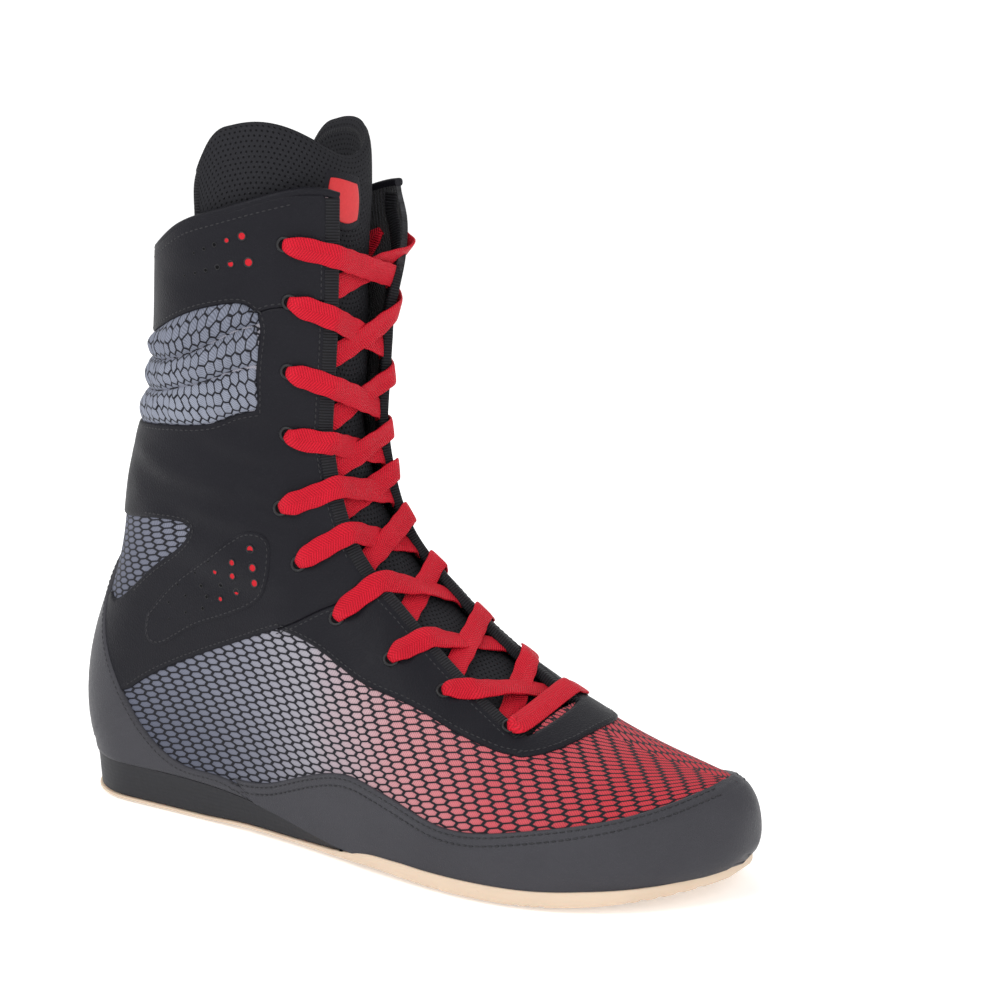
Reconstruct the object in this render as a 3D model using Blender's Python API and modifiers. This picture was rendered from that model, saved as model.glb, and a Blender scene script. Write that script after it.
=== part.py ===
"""High-top boxing shoe, right foot, standing empty on its sole.

+X points to the toe, +Y to the inner side of the foot, +Z up.  The origin is the middle of the
heel's flat spot on the floor.  Everything is worked out from the last: a side-view outline (ridge,
sole edge and back line), widths along the foot and up the shaft, and rounded closings.  The last's
curves are drawn for a base size in millimetres and graded to LENGTH, BALL_WIDTH and SHAFT_HEIGHT.
"""
import math

import bmesh
import bpy
import numpy as np

MM = 0.001

# ---- driving sizes, in metres ----
LENGTH = 0.2890          # heel to toe, over the upper
BALL_WIDTH = 0.0984      # across the ball, over the upper
SHAFT_HEIGHT = 0.2450    # floor to the collar's front corner
WALL = 0.0025            # upper's wall: leather or mesh, foam and lining
GAP = 0.0003             # between pieces that touch
OVERLAY = 0.0012         # thickness of the rand and the heel counter
OVERLAY_GAP = 0.0004     # under the rand and the heel counter
THROAT_HALF = 0.0168     # half the lace opening's width
SOLE_LIP = 0.0008        # outsole's edge beyond the upper
HEEL_SOLE = 0.0021       # outsole's thickness at the heel
BALL_SOLE = 0.0046       # outsole's thickness at the ball
ARCH_RISE = 0.0010       # how far the outsole lifts under the arch
SOLE_EDGE_LIFT = 0.0013  # rounding of the outsole's lower edge
GROOVE_DEPTH = 0.0009
GROOVE_WIDTH = 0.0020
INSOLE = 0.0038
INSOLE_CLEAR = 0.0020    # insole's edge to the upper's lining
TONGUE = 0.0042          # padded tongue's thickness
TONGUE_CLEAR = 0.0010    # tongue to the upper's lining
LACE_WIDTH = 0.0086
LACE_THICK = 0.0012
LACE_CLEAR = 0.0008      # lace to the leather it lies over
LACE_EDGE_CLEAR = 0.0014  # lace's bend or end to the flap's edge
EYELET_RADIUS = 0.0022

# ---- the last, base size, in millimetres from the heel's rearmost point and the floor ----
BASE_LENGTH, BASE_BALL, BASE_HEIGHT = 302.5, 103.0, 256.5
TOE_X = 306.0
PIVOT_X, PIVOT_Z = 168.0, 172.0      # in front of the ankle, where the sections fan out
FAN = math.radians(78.0)             # from straight down to the shaft's sections
SHAFT_SPAN = 150.0                   # shaft length that counts as one section unit
RIDGE = [(306, 25), (305, 34), (299, 41.5), (287, 44.5), (272, 47), (255, 51.5), (238, 58.5),
         (217, 69.5), (197, 82), (179, 95.5), (164, 109.5), (152, 125), (146, 144), (145, 170),
         (146, 200), (147, 235), (148, 275), (148, 310)]
NOSE = [(306, 25), (305, 17), (300.5, 10.5)]
FEATHER = [(300.5, 10.5), (290, 8.6), (275, 7.0), (255, 6.0), (225, 5.5), (190, 5.5), (160, 6), (135, 9.5),
           (110, 13.5), (80, 16), (50, 16.5), (8, 17)]
BACK = [(8, 17), (5, 26), (3.5, 38), (5, 54), (10, 72), (18, 92), (24, 112), (28, 135),
        (34, 155), (41, 175), (46, 200), (48, 225), (50, 250), (53, 300)]
PLAN_X = [0, 40, 80, 120, 165, 205, 235, 260, 283, 306]
PLAN_OUTER = [34, 35, 36, 39, 46, 50.5, 51, 49, 45, 37]
PLAN_INNER = [34, 34, 33, 33.5, 39, 46, 51, 52, 50, 44]
SHAFT_Z = [40, 70, 100, 140, 180, 220, 260]
SHAFT_HALF = [34, 34, 35, 38, 41, 43, 43]
TOE_SWING = 12.0                     # the last's curve to the inner side at the toe
FLARE = 19.0                         # the inner flap's top corner, folded outwards
ROLL_EDGES = [168, 184, 201, 218]    # heights between the padded rolls at the back
ROLL_PROUD = 2.2
ROLL_FRONT = 92.0                    # where the rolls run out towards the front
COLLAR = [(48, 231), (62, 233), (80, 242), (95, 247), (112, 252), (126, 256), (137, 256.5),
          (144, 253)]
SLIT_X = 230.0                       # lower end of the lace opening
SLIT_SWING = -6.0                    # the opening's lower end, towards the outer side
HEEL_REST_X = 38.0                   # the origin, along the sole
BALL_GROOVES = range(190, 265, 12)   # across the tread under the ball
HEEL_GROOVES = (18, 28, 48, 58)
WEDGE_END = 166.0                    # the heel wedge's feathered front end
EYELETS = [(125, 237), (126, 215), (124, 188), (122, 163), (121, 134), (130, 113), (149, 94),
           (174, 81), (196, 71), (222, 60)]
LACE_END_SHIFT = 0.20                # a crossing's far end, back towards the row it came from
TONGUE_ENDS = (0.50, 2.69)           # sections of its lower end and of the dip in its top edge
TONGUE_WING = 0.13                   # how much the top's outer corners rise over the dip
TONGUE_HALF = [(0.5, 0.28), (1.3, 0.33), (1.8, 0.40), (2.2, 0.50), (2.5, 0.57), (2.9, 0.62)]
TONGUE_SINK = [(0.5, 2.0), (1.0, 3.2), (1.5, 6.5), (2.2, 9.0)]   # millimetres behind the throat
RAND_EDGE = [(99, 21.6), (116, 23), (136, 30), (160, 36.5), (174, 35), (188, 31.5),
             (204, 27), (220, 26), (240, 29), (262, 32.5), (281, 37), (294, 42), (306, 47)]
COUNTER_EDGE = [(114, 10), (108, 17), (92, 21), (72, 22), (58, 28), (47, 38), (38, 52), (29, 74),
                (24, 98), (10, 104)]

GRADE_X = LENGTH / (BASE_LENGTH * MM)
GRADE_Y = BALL_WIDTH / (BASE_BALL * MM)
GRADE_Z = SHAFT_HEIGHT / (BASE_HEIGHT * MM)


def spline(x, xs, ys):
    """Natural cubic spline through (xs, ys), read at x."""
    xs, ys = np.asarray(xs, float), np.asarray(ys, float)
    n, h = len(xs), np.diff(xs)
    system, right = np.zeros((n, n)), np.zeros(n)
    system[0, 0] = system[-1, -1] = 1
    for i in range(1, n - 1):
        system[i, i - 1:i + 2] = h[i - 1], 2 * (h[i - 1] + h[i]), h[i]
        right[i] = 6 * ((ys[i + 1] - ys[i]) / h[i] - (ys[i] - ys[i - 1]) / h[i - 1])
    m = np.linalg.solve(system, right)
    x = np.clip(x, xs[0], xs[-1])
    i = np.clip(np.searchsorted(xs, x) - 1, 0, n - 2)
    d, e = x - xs[i], xs[i + 1] - x
    return ((m[i] * e ** 3 + m[i + 1] * d ** 3) / (6 * h[i])
            + (ys[i] / h[i] - m[i] * h[i] / 6) * e + (ys[i + 1] / h[i] - m[i + 1] * h[i] / 6) * d)


def smooth_curve(points, count):
    """A smooth curve through the points, as count samples."""
    p = np.array(points, float)
    steps = np.sqrt(np.linalg.norm(np.diff(p, axis=0), axis=1))
    knots = np.r_[0, np.cumsum(steps)]
    u = np.linspace(0, knots[-1], count)
    return np.stack([spline(u, knots, p[:, 0]), spline(u, knots, p[:, 1])], 1)


def ease(u):
    u = np.clip(u, 0, 1)
    return u * u * (3 - 2 * u)


def rounding(u, power):
    """Rises from 0 at u = 0 to 1 at u = 1 like a rounded end."""
    return (1 - (1 - np.clip(u, 0, 1)) ** power) ** (1 / power)


def section_of(x, z):
    """The section a side-view point lies on: 0 at the toe, 1 at the instep, 2 and up the shaft."""
    x, z = np.asarray(x, float), np.asarray(z, float)
    turn = np.arctan2(PIVOT_X - x, PIVOT_Z - z)
    climb = z - PIVOT_Z + (PIVOT_X - x) / math.tan(FAN)
    foot = (TOE_X - x) / (TOE_X - PIVOT_X)
    return np.where(x >= PIVOT_X, foot, np.where(turn < FAN, 1 + turn / FAN, 2 + climb / SHAFT_SPAN))


HEEL_END, TOE_END = FEATHER[-1][0], FEATHER[0][0]
ridge_curve = smooth_curve(RIDGE, 500)
nose_curve = smooth_curve(NOSE, 60)
feather_curve = smooth_curve(FEATHER, 240)
back_curve = smooth_curve(BACK, 300)
end_curve = np.vstack([nose_curve, feather_curve[1:], back_curve[1:]])
ridge_s = section_of(*ridge_curve.T)
end_s = section_of(*end_curve.T)


def ridge_at(s):
    return np.stack([np.interp(s, ridge_s, ridge_curve[:, k]) for k in (0, 1)], -1)


def end_at(s):
    return np.stack([np.interp(s, end_s, end_curve[:, k]) for k in (0, 1)], -1)


def back_x(z):
    return np.interp(z, back_curve[:, 1], back_curve[:, 0])


def toe_x(z):
    return np.interp(z, nose_curve[::-1, 1], nose_curve[::-1, 0])


def feather_z(x):
    return np.interp(x, feather_curve[::-1, 0], feather_curve[::-1, 1])


def centre_y(x):
    return TOE_SWING * np.clip((x - 115) / (TOE_X - 115), 0, 1) ** 1.5


def half_width(x, z, height, depth, side, flare=FLARE):
    """Half width to one side (-1 outer, +1 inner) at a side-view point, depth under the ridge."""
    plan = spline(x, PLAN_X, PLAN_OUTER if side < 0 else PLAN_INNER) - side * centre_y(x)
    foot_to_shaft = ease((z - 50) / 75)
    wide = plan * (1 - foot_to_shaft) + spline(z, SHAFT_Z, SHAFT_HALF) * foot_to_shaft
    top_round = np.minimum(0.85 * height, 54 + 46 * ease((z - 90) / 80))
    heel_round = 33 + 17 * ease((z - 60) / 120)
    toe_round = 92 if side < 0 else 62
    wide = wide * rounding(depth / np.maximum(top_round, 1e-3), 2.15)
    wide = wide * rounding((x - back_x(z)) / heel_round, 2.1)
    wide = wide * rounding((toe_x(z) - x) / toe_round, 2.25)
    if side > 0:
        wide = wide + flare * ease((z - 200) / 48) * np.clip(1 - depth / 55, 0, 1) ** 2
    return wide


def last_point(s, t, flare=FLARE):
    """Outer surface, base size: section s, and t from -1 (outer side) through 0 (ridge) to 1."""
    s, t = np.broadcast_arrays(np.asarray(s, float), np.asarray(t, float))
    turn = 1 + ease((s - 1.25) / 0.5)
    share = (1 - np.cos(math.pi / 2 * np.abs(t) * turn)) / (1 - np.cos(math.pi / 2 * turn))
    ridge, end = ridge_at(s), end_at(s)
    side_view = ridge + (end - ridge) * share[..., None]
    height = np.linalg.norm(end - ridge, axis=-1)
    x, z = side_view[..., 0], side_view[..., 1]
    outer = half_width(x, z, height, share * height, -1)
    inner = half_width(x, z, height, share * height, 1, flare)
    return np.stack([x, centre_y(x) + np.where(t < 0, -outer, inner), z], -1)


def graded(p):
    """Base millimetres from the heel to metres from the heel's flat spot."""
    p = np.asarray(p, float) - np.array([HEEL_REST_X, 0, 0])
    return p * np.array([GRADE_X, GRADE_Y, GRADE_Z]) * MM


def normal_at(s, t, flare=FLARE):
    """Unit normal of the graded surface, pointing out."""
    e = 2e-3
    near = np.clip(t, -0.985, 0.985)
    near = np.where(np.abs(near) < 0.01, np.where(near < 0, -0.01, 0.01), near)
    base = np.maximum(s, 0.01)
    along = graded(last_point(base + e, near, flare)) - graded(last_point(base - e, near, flare))
    across = graded(last_point(base, near + e, flare)) - graded(last_point(base, near - e, flare))
    normal = np.cross(across, along)
    normal[..., 1] = np.where(np.abs(t) < 0.005, 0, normal[..., 1])
    return normal / np.maximum(np.linalg.norm(normal, axis=-1, keepdims=True), 1e-12)


def surface(s, t, offset=0.0, flare=FLARE):
    """Graded outer surface, moved out along its normal by offset metres."""
    s, t = np.broadcast_arrays(np.asarray(s, float), np.asarray(t, float))
    p = graded(last_point(s, t, flare))
    return p + normal_at(s, t, flare) * (offset + roll_height(p))[..., None]


def roll_height(p):
    """The padded rolls at the back of the shaft, as a height over the surface, in metres."""
    x = p[..., 0] / (GRADE_X * MM) + HEEL_REST_X
    z = p[..., 2] / (GRADE_Z * MM) - 0.10 * (x - 48)
    wave = np.zeros_like(z)
    for low, high in zip(ROLL_EDGES, ROLL_EDGES[1:]):
        u = np.clip((z - low) / (high - low), 0, 1)
        wave = wave + np.sin(math.pi * u) ** 0.7 * ((u > 0) & (u < 1))
    return ROLL_PROUD * MM * wave * ease((ROLL_FRONT - x) / 14)


# ---- materials ----
def material(name, colour, roughness, metallic=0.0):
    mat = bpy.data.materials.new(name)
    mat.use_nodes = True
    shader = mat.node_tree.nodes["Principled BSDF"]
    shader.inputs["Base Color"].default_value = (*colour, 1)
    shader.inputs["Roughness"].default_value = roughness
    shader.inputs["Metallic"].default_value = metallic
    mat.diffuse_color = (*colour, 1)
    return mat


# ---- scene ----
for old in list(bpy.data.objects):
    bpy.data.objects.remove(old, do_unlink=True)

SHOE = bpy.data.collections.new("boxing_shoe")
CUTTERS = bpy.data.collections.new("cutters")
bpy.context.scene.collection.children.link(SHOE)
bpy.context.scene.collection.children.link(CUTTERS)


def add_object(name, vertices, faces, mat=None, collection=SHOE):
    mesh = bpy.data.meshes.new(name)
    mesh.from_pydata([tuple(v) for v in vertices], [], [tuple(f) for f in faces])
    obj = bpy.data.objects.new(name, mesh)
    collection.objects.link(obj)
    if mat:
        mesh.materials.append(mat)
    if collection is CUTTERS:
        obj.hide_render = True
        obj.display_type = "WIRE"
    return obj


def weld(obj, distance=2e-5, split=False):
    bm = bmesh.new()
    bm.from_mesh(obj.data)
    bmesh.ops.remove_doubles(bm, verts=bm.verts, dist=distance)
    bmesh.ops.delete(bm, geom=[v for v in bm.verts if not v.link_faces], context="VERTS")
    bmesh.ops.dissolve_degenerate(bm, edges=bm.edges, dist=distance)
    bmesh.ops.recalc_face_normals(bm, faces=bm.faces)
    if split:
        bmesh.ops.triangulate(bm, faces=bm.faces, quad_method="FIXED")
    bm.to_mesh(obj.data)
    bm.free()


def point_normals_out(obj):
    """Turns an open shell's faces away from the shoe's inside."""
    bm = bmesh.new()
    bm.from_mesh(obj.data)
    bm.normal_update()
    vote = sum(f.calc_area() * f.normal.y * (1 if f.calc_center_median().y > 0 else -1)
               for f in bm.faces)
    if vote < 0:
        bmesh.ops.reverse_faces(bm, faces=bm.faces)
    bm.to_mesh(obj.data)
    bm.free()


def solidify(obj, thickness, offset, even=True):
    mod = obj.modifiers.new("wall", "SOLIDIFY")
    mod.thickness = thickness
    mod.offset = offset
    mod.use_even_offset = even
    mod.use_rim = True
    return mod


def boolean(obj, cutter, operation="DIFFERENCE"):
    mod = obj.modifiers.new(cutter.name, "BOOLEAN")
    mod.operation = operation
    mod.object = cutter
    mod.solver = "EXACT"
    return mod


def base_z(metres):
    """A real thickness as base millimetres of height."""
    return metres / (GRADE_Z * MM)


def foot_line(start, end, count, rise):
    """Side-view points along the sole edge, a real height above it."""
    x = np.linspace(start, end, count)
    return [tuple(p) for p in np.stack([x, feather_z(x) + base_z(rise)], 1)]


def side_prism(name, outline):
    """A closed prism across the whole shoe over a side-view outline in base millimetres."""
    count = len(outline)
    vertices = [graded((x, y, z)) for y in (-90, 90) for x, z in outline]
    faces = [tuple(range(count)), tuple(range(2 * count - 1, count - 1, -1))]
    faces += [(i, count + i, count + (i + 1) % count, (i + 1) % count) for i in range(count)]
    obj = add_object(name, vertices, faces, None, CUTTERS)
    weld(obj)
    return obj


# ---- the upper's own grid of sections ----
def collar_s(x):
    """Section value of the collar line above a base-size x."""
    line = smooth_curve(COLLAR, 80)
    z = np.interp(x, line[:, 0], line[:, 1])
    return section_of(x, z)


SLIT_S = float(section_of(SLIT_X, 60))
HEEL_S = float(section_of(*FEATHER[-1]))
TOP_S = 2.56                         # highest section that the collar line is fitted to


def throat_y(x):
    """The lace opening's centre line."""
    return SLIT_SWING * ease((x - 165) / (SLIT_X + 15 - 165))


def throat_t(s, side, half_gap):
    """|t| where each section is half_gap metres away from the opening's centre line."""
    tries = np.linspace(1e-4, 0.6, 300)
    found = []
    for value in s:
        p = last_point(value, side * tries)
        y = side * (p[:, 1] - throat_y(p[:, 0])) * GRADE_Y * MM
        y = y - FLARE * GRADE_Y * MM * ease((p[:, 2] - 200) / 48) * (side > 0)
        found.append(np.interp(half_gap, y, tries))
    return np.array(found)


def upper_rows():
    toe = (np.linspace(0, 1, 9)[1:] ** 1.6) * 0.20
    vamp = np.linspace(0.20, SLIT_S, 6)[1:]
    instep = np.linspace(SLIT_S, 1.0, 8)[1:]
    ankle = 1.0 + (HEEL_S - 1.0) * np.sin(np.linspace(0, math.pi / 2, 9)[1:])
    heel = HEEL_S + (2.0 - HEEL_S) * (1 - np.cos(np.linspace(0, math.pi / 2, 7)[1:]))
    shaft = np.linspace(2.0, TOP_S, 13)[1:]
    return np.concatenate([toe, vamp, instep, ankle, heel, shaft])


COLUMNS = 11


def upper_half(side):
    """One side of the outer surface as (s, t) grids: the ridge, the throat's edge, and on down."""
    rows = upper_rows()
    toward_slit = ease(rows / SLIT_S)
    edge = throat_t(np.maximum(rows, SLIT_S), side, THROAT_HALF)
    edge = edge * toward_slit + (1 - toward_slit) / (COLUMNS - 1)
    t = edge[:, None] + (1 - edge[:, None]) * np.linspace(0, 1, COLUMNS - 1)[None, :]
    ridge = np.where(rows > SLIT_S + 1e-6, edge, 0.0)
    t = side * np.hstack([ridge[:, None], t])
    s = np.repeat(rows[:, None], COLUMNS, 1)
    stretch = np.clip((rows - 2.0) / (TOP_S - 2.0), 0, 1)[:, None]
    x = last_point(s, t)[..., 0]
    s = np.where(stretch > 0, 2.0 + stretch * (collar_s(x) - 2.0), s)
    return s, t


def upper_shell(name, offset, mat, skirt=False):
    """The outer surface as an open sheet; a skirt leaves out what lies round the throat."""
    vertices, faces = [], []
    for side in (-1, 1):
        s, t = upper_half(side)
        p = surface(s, t, offset)
        closed = (np.abs(t[:, 0]) < 1e-6)
        p[closed, 0, 1] = graded(last_point(s[closed, 0], 0.0))[:, 1]
        wraps = s[:, -1] >= HEEL_S
        p[wraps, -1, 1] = 0.0
        first = len(vertices)
        vertices += [tuple(v) for v in p.reshape(-1, 3)]
        rows, columns = s.shape
        for i in range(rows - 1):
            left_out = 4 if skirt and s[i, 0] > 0.19 else int(s[i, 0] > SLIT_S - 1e-6)
            for j in range(left_out, columns - 1):
                a = first + i * columns + j
                faces.append((a, a + 1, a + columns + 1, a + columns))
        pole = len(vertices)
        tip = graded(last_point(0.0, 0.0)) + np.array([offset, 0, 0])
        vertices.append(tuple(tip))
        for j in range(columns - 1):
            faces.append((pole, first + j + 1, first + j))
    obj = add_object(name, vertices, faces, mat)
    weld(obj, split=True)
    point_normals_out(obj)
    return obj


black_leather = material("black_leather", (0.020, 0.020, 0.022), 0.55)
upper = upper_shell("upper", 0.0, black_leather)
solidify(upper, WALL, -1.0, even=False)
boolean(upper, side_prism("sole_line_trim", foot_line(-20, 320, 30, 0.0) + [(320, -20), (-20, -20)]))


# ---- sole pieces: slabs that follow the last's plan ----
def edge_y(x, side, inset=0.0):
    """The shoe's plan outline at the sole edge, in base millimetres; inset shrinks it."""
    z = feather_z(x)
    y = half_width(x, z, np.full_like(x, 90.0), np.full_like(x, 90.0), side)
    return centre_y(x) + side * np.maximum(y - inset, 0.3)


def slab(name, mat, low, high, plan_end, inset, bottom, top, stations, edge_lift=0.0):
    """A closed plate from low to high, with the plan outline up to plan_end fitted to it."""
    u = 0.5 - 0.5 * np.cos(np.linspace(0.035, 1 - 0.035, stations) * math.pi)
    x = low + (high - low) * u
    plan_x = HEEL_END + (plan_end - HEEL_END) * u
    outer, inner = edge_y(plan_x, -1, inset), edge_y(plan_x, 1, inset)
    across = np.array([0.0, 0.03, 0.5, 0.97, 1.0])
    y = outer[:, None] + (inner - outer)[:, None] * across
    xs = np.repeat(x[:, None], len(across), 1)
    layers = []
    for height in (bottom, top):
        z = np.repeat(height(x)[:, None], len(across), 1)
        if height is bottom:
            z[:, [0, -1]] += edge_lift
        layers.append(graded(np.stack([xs, y, z], -1)).reshape(-1, 3))
    rows, columns = xs.shape
    count = rows * columns
    faces = []
    for i in range(rows - 1):
        for j in range(columns - 1):
            a = i * columns + j
            quad = (a, a + 1, a + columns + 1, a + columns)
            faces.append(quad)
            faces.append(tuple(count + k for k in reversed(quad)))
    rim = [i * columns for i in range(rows)] + [(rows - 1) * columns + j for j in range(1, columns)]
    rim += [i * columns + columns - 1 for i in range(rows - 2, -1, -1)]
    rim += [j for j in range(columns - 2, 0, -1)]
    for a, b in zip(rim, rim[1:] + rim[:1]):
        faces.append((a, b, count + b, count + a))
    obj = add_object(name, np.vstack(layers), faces, mat)
    weld(obj)
    return obj


def floor_line(x):
    """The outsole's underside: flat at the heel and the ball, lifted at the arch and the toe."""
    arch = base_z(ARCH_RISE) * ease((x - 78) / 30) * ease((205 - x) / 30)
    spring = 6.6 * np.clip((x - 240) / 61, 0, 1) ** 1.8
    heel_end = 0.8 * np.clip((14 - x) / 10, 0, 1) ** 2
    return arch + spring + heel_end


def outsole_top(x):
    thick = HEEL_SOLE + (BALL_SOLE - HEEL_SOLE) * ease((x - 120) / 80)
    return np.minimum(floor_line(x) + base_z(thick), feather_z(x) - base_z(GAP))


def wedge_top(x):
    return feather_z(x) - base_z(GAP)


def wedge_bottom(x):
    return outsole_top(x) + base_z(GAP)


gum = material("gum_rubber", (0.80, 0.60, 0.42), 0.6)
outsole = slab("outsole", gum, HEEL_END - 1.0, TOE_END + 0.5, TOE_END, -base_z(SOLE_LIP), floor_line,
               outsole_top, 48, base_z(SOLE_EDGE_LIFT))
wedge_foam = material("wedge_rubber", (0.018, 0.018, 0.02), 0.7)
wedge = slab("midsole_wedge", wedge_foam, HEEL_END + 0.4, WEDGE_END, WEDGE_END, 0.3, wedge_bottom,
             wedge_top, 26)
board = material("insole_fabric", (0.03, 0.03, 0.035), 0.9)
insole_inset = (WALL + INSOLE_CLEAR) / (GRADE_Y * MM)
insole = slab("insole", board, HEEL_END + insole_inset, TOE_END - insole_inset, TOE_END, insole_inset,
              feather_z, lambda x: feather_z(x) + base_z(INSOLE), 30)


# grooves under the ball and the heel, cut in from below and clear of the edge
def groove_cutters():
    vertices, faces = [], []
    spots = list(BALL_GROOVES) + list(HEEL_GROOVES)
    for x in spots:
        low, high = edge_y(np.array([x]), -1, 7.0)[0], edge_y(np.array([x]), 1, 7.0)[0]
        half = GROOVE_WIDTH / 2 / (GRADE_X * MM)
        base = floor_line(np.array([x]))[0]
        top = base + base_z(GROOVE_DEPTH)
        first = len(vertices)
        for z in (base - 4, top):
            for dx, y in ((-half, low), (half, low), (half, high), (-half, high)):
                vertices.append(graded((x + dx, y, z)))
        faces += [tuple(first + k for k in f) for f in
                  ((3, 2, 1, 0), (4, 5, 6, 7), (0, 1, 5, 4), (1, 2, 6, 5), (2, 3, 7, 6), (3, 0, 4, 7))]
    return add_object("groove_cutters", vertices, faces, None, CUTTERS)


boolean(outsole, groove_cutters())


# ---- rand and heel counter: proud shells of the last, trimmed by side-view outlines ----
def proud_shell(name, outline, mat):
    shell = upper_shell(name, OVERLAY_GAP, mat, skirt=True)
    solidify(shell, OVERLAY, 1.0, even=False)
    boolean(shell, side_prism(name + "_trim", outline), "INTERSECT")
    return shell


counter_line = [tuple(p) for p in smooth_curve(COUNTER_EDGE, 26) if p[1] > feather_z(p[0]) + 0.6]
rand_line = [tuple(p) for p in smooth_curve(RAND_EDGE, 34)]
charcoal = material("charcoal_leather", (0.055, 0.056, 0.062), 0.5)
counter = proud_shell("heel_counter", counter_line + [(-20, 104)] + foot_line(-20, 110, 9, 2 * GAP), charcoal)
seam = GAP / (GRADE_X * MM) + 0.3
seam_line = [(x + seam, z + 0.3) for x, z in counter_line if x > RAND_EDGE[0][0]]
rand = proud_shell("toe_rand", rand_line + [(320, 47)] + foot_line(320, 116, 16, 2 * GAP) + seam_line, charcoal)


# ---- eyelets: ten punched holes down each side of the throat ----
def on_surface(x, z, side):
    """(s, t) of the side-view point (x, z) on one side."""
    s = float(section_of(x, z))
    tries = np.linspace(0.02, 0.9, 600)
    p = last_point(s, side * tries)
    return s, side * tries[np.argmin((p[:, 0] - x) ** 2 + (p[:, 2] - z) ** 2)]


def eyelet_cutters(sides=8, reach=0.006):
    vertices, faces = [], []
    for x, z in EYELETS:
        for side in (-1, 1):
            s, t = on_surface(x, z, side)
            centre, normal = surface(s, t), normal_at(s, t)
            u = np.cross(normal, (0, 0, 1.0))
            u = u / np.linalg.norm(u)
            v = np.cross(normal, u)
            first = len(vertices)
            for end in (-reach, reach):
                for k in range(sides):
                    a = 2 * math.pi * (k + 0.5) / sides
                    vertices.append(centre + normal * end
                                    + EYELET_RADIUS * (u * math.cos(a) + v * math.sin(a)))
            faces.append(tuple(first + k for k in range(sides)))
            faces.append(tuple(first + sides + k for k in reversed(range(sides))))
            for k in range(sides):
                n = (k + 1) % sides
                faces.append((first + k, first + sides + k, first + sides + n, first + n))
    cutters = add_object("eyelet_cutters", vertices, faces, None, CUTTERS)
    weld(cutters)
    return cutters


boolean(upper, eyelet_cutters())


# ---- tongue: a padded band inside the throat, folded round the front of the leg ----
def tongue_sheet(columns=15, rows=18):
    u = np.linspace(-1, 1, columns)[None, :]
    low, high = TONGUE_ENDS
    top = high + TONGUE_WING * ease(np.abs(u) / 0.75) - 0.10 * np.clip((np.abs(u) - 0.8) / 0.2, 0, 1) ** 2
    v = np.linspace(0, 1, rows)[:, None]
    v = np.where(v > 0.9, 1 - 10 * (1 - v) ** 2, v)
    s = low + (top - low) * v
    s = s + 0.05 * (1 - v) * np.clip((np.abs(u) - 0.6) / 0.4, 0, 1) ** 2
    wide = np.interp(s, [q for q, _ in TONGUE_HALF], [q for _, q in TONGUE_HALF])
    t = u * wide
    p = surface(s, t, -(WALL + TONGUE_CLEAR), 0.0)
    inward = graded(np.insert(end_at(s), 1, 0, -1)) - graded(np.insert(ridge_at(s), 1, 0, -1))
    inward = inward / np.linalg.norm(inward, axis=-1, keepdims=True)
    sink = np.interp(s, [q for q, _ in TONGUE_SINK], [q for _, q in TONGUE_SINK]) * MM
    sink = sink * (1 - np.clip(np.abs(t) / 0.45, 0, 1) ** 2) ** 2
    p = p + inward * sink[..., None]
    faces = []
    for i in range(rows - 1):
        for j in range(columns - 1):
            a = i * columns + j
            faces.append((a, a + 1, a + columns + 1, a + columns))
    return p.reshape(-1, 3), faces


tongue_mesh = material("tongue_mesh", (0.025, 0.025, 0.028), 0.8)
tongue = add_object("tongue", *tongue_sheet(), tongue_mesh)
point_normals_out(tongue)
solidify(tongue, TONGUE, -1.0)


# ---- laces: nine flat crossings and the bar below them, over the throat ----
def ribbon(name, points, normals, mat, collection=SHOE, slants=()):
    """A flat closed ribbon along the points, square to the normals, slanted to edges it bends over."""
    points, normals = np.array(points), np.array(normals)
    along = np.gradient(points, axis=0)
    along = along / np.linalg.norm(along, axis=1, keepdims=True)
    across = np.cross(along, normals)
    across = across / np.linalg.norm(across, axis=1, keepdims=True)
    up = np.cross(across, along)
    for station, line in slants:
        across[station] = line / np.dot(line, across[station])
    vertices, faces = [], []
    for p, side, rise in zip(points, across, up):
        for w, h in ((-1, -1), (1, -1), (1, 1), (-1, 1)):
            vertices.append(p + side * w * LACE_WIDTH / 2 + rise * h * LACE_THICK / 2)
    last = 4 * (len(points) - 1)
    for i in range(0, last, 4):
        for a in range(4):
            b = (a + 1) % 4
            faces.append((i + a, i + b, i + 4 + b, i + 4 + a))
    faces += [(3, 2, 1, 0), (last, last + 1, last + 2, last + 3)]
    obj = add_object(name, vertices, faces, mat, collection)
    weld(obj)
    return obj


def throat_edge(s, side, lift):
    """A point just clear of the flap's edge, with its normal."""
    t = side * throat_t([s], side, THROAT_HALF - LACE_EDGE_CLEAR)[0]
    return surface(s, t, lift), normal_at(s, t)


def edge_line(s, side):
    """The way the flap's edge runs."""
    return throat_edge(s + 0.01, side, 0.0)[0] - throat_edge(s - 0.01, side, 0.0)[0]


def over_the_flap(row, side, s_edge, lift):
    """Points and normals from an eyelet over the leather to the flap's edge."""
    s, t = on_surface(*EYELETS[row], side)
    t_edge = side * throat_t([s_edge], side, THROAT_HALF - LACE_EDGE_CLEAR)[0]
    share = np.linspace(0, 1, 4)
    ss, ts = s + (s_edge - s) * share, t + (t_edge - t) * share
    return list(surface(ss, ts, lift)), list(normal_at(ss, ts))


def across_the_gap(near, far, count):
    """Straight on from the near edge to the far one, both given as (point, normal)."""
    share = np.linspace(0, 1, count + 1)[1:, None]
    return list(near[0] + (far[0] - near[0]) * share), list(near[1] + (far[1] - near[1]) * share)


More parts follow.
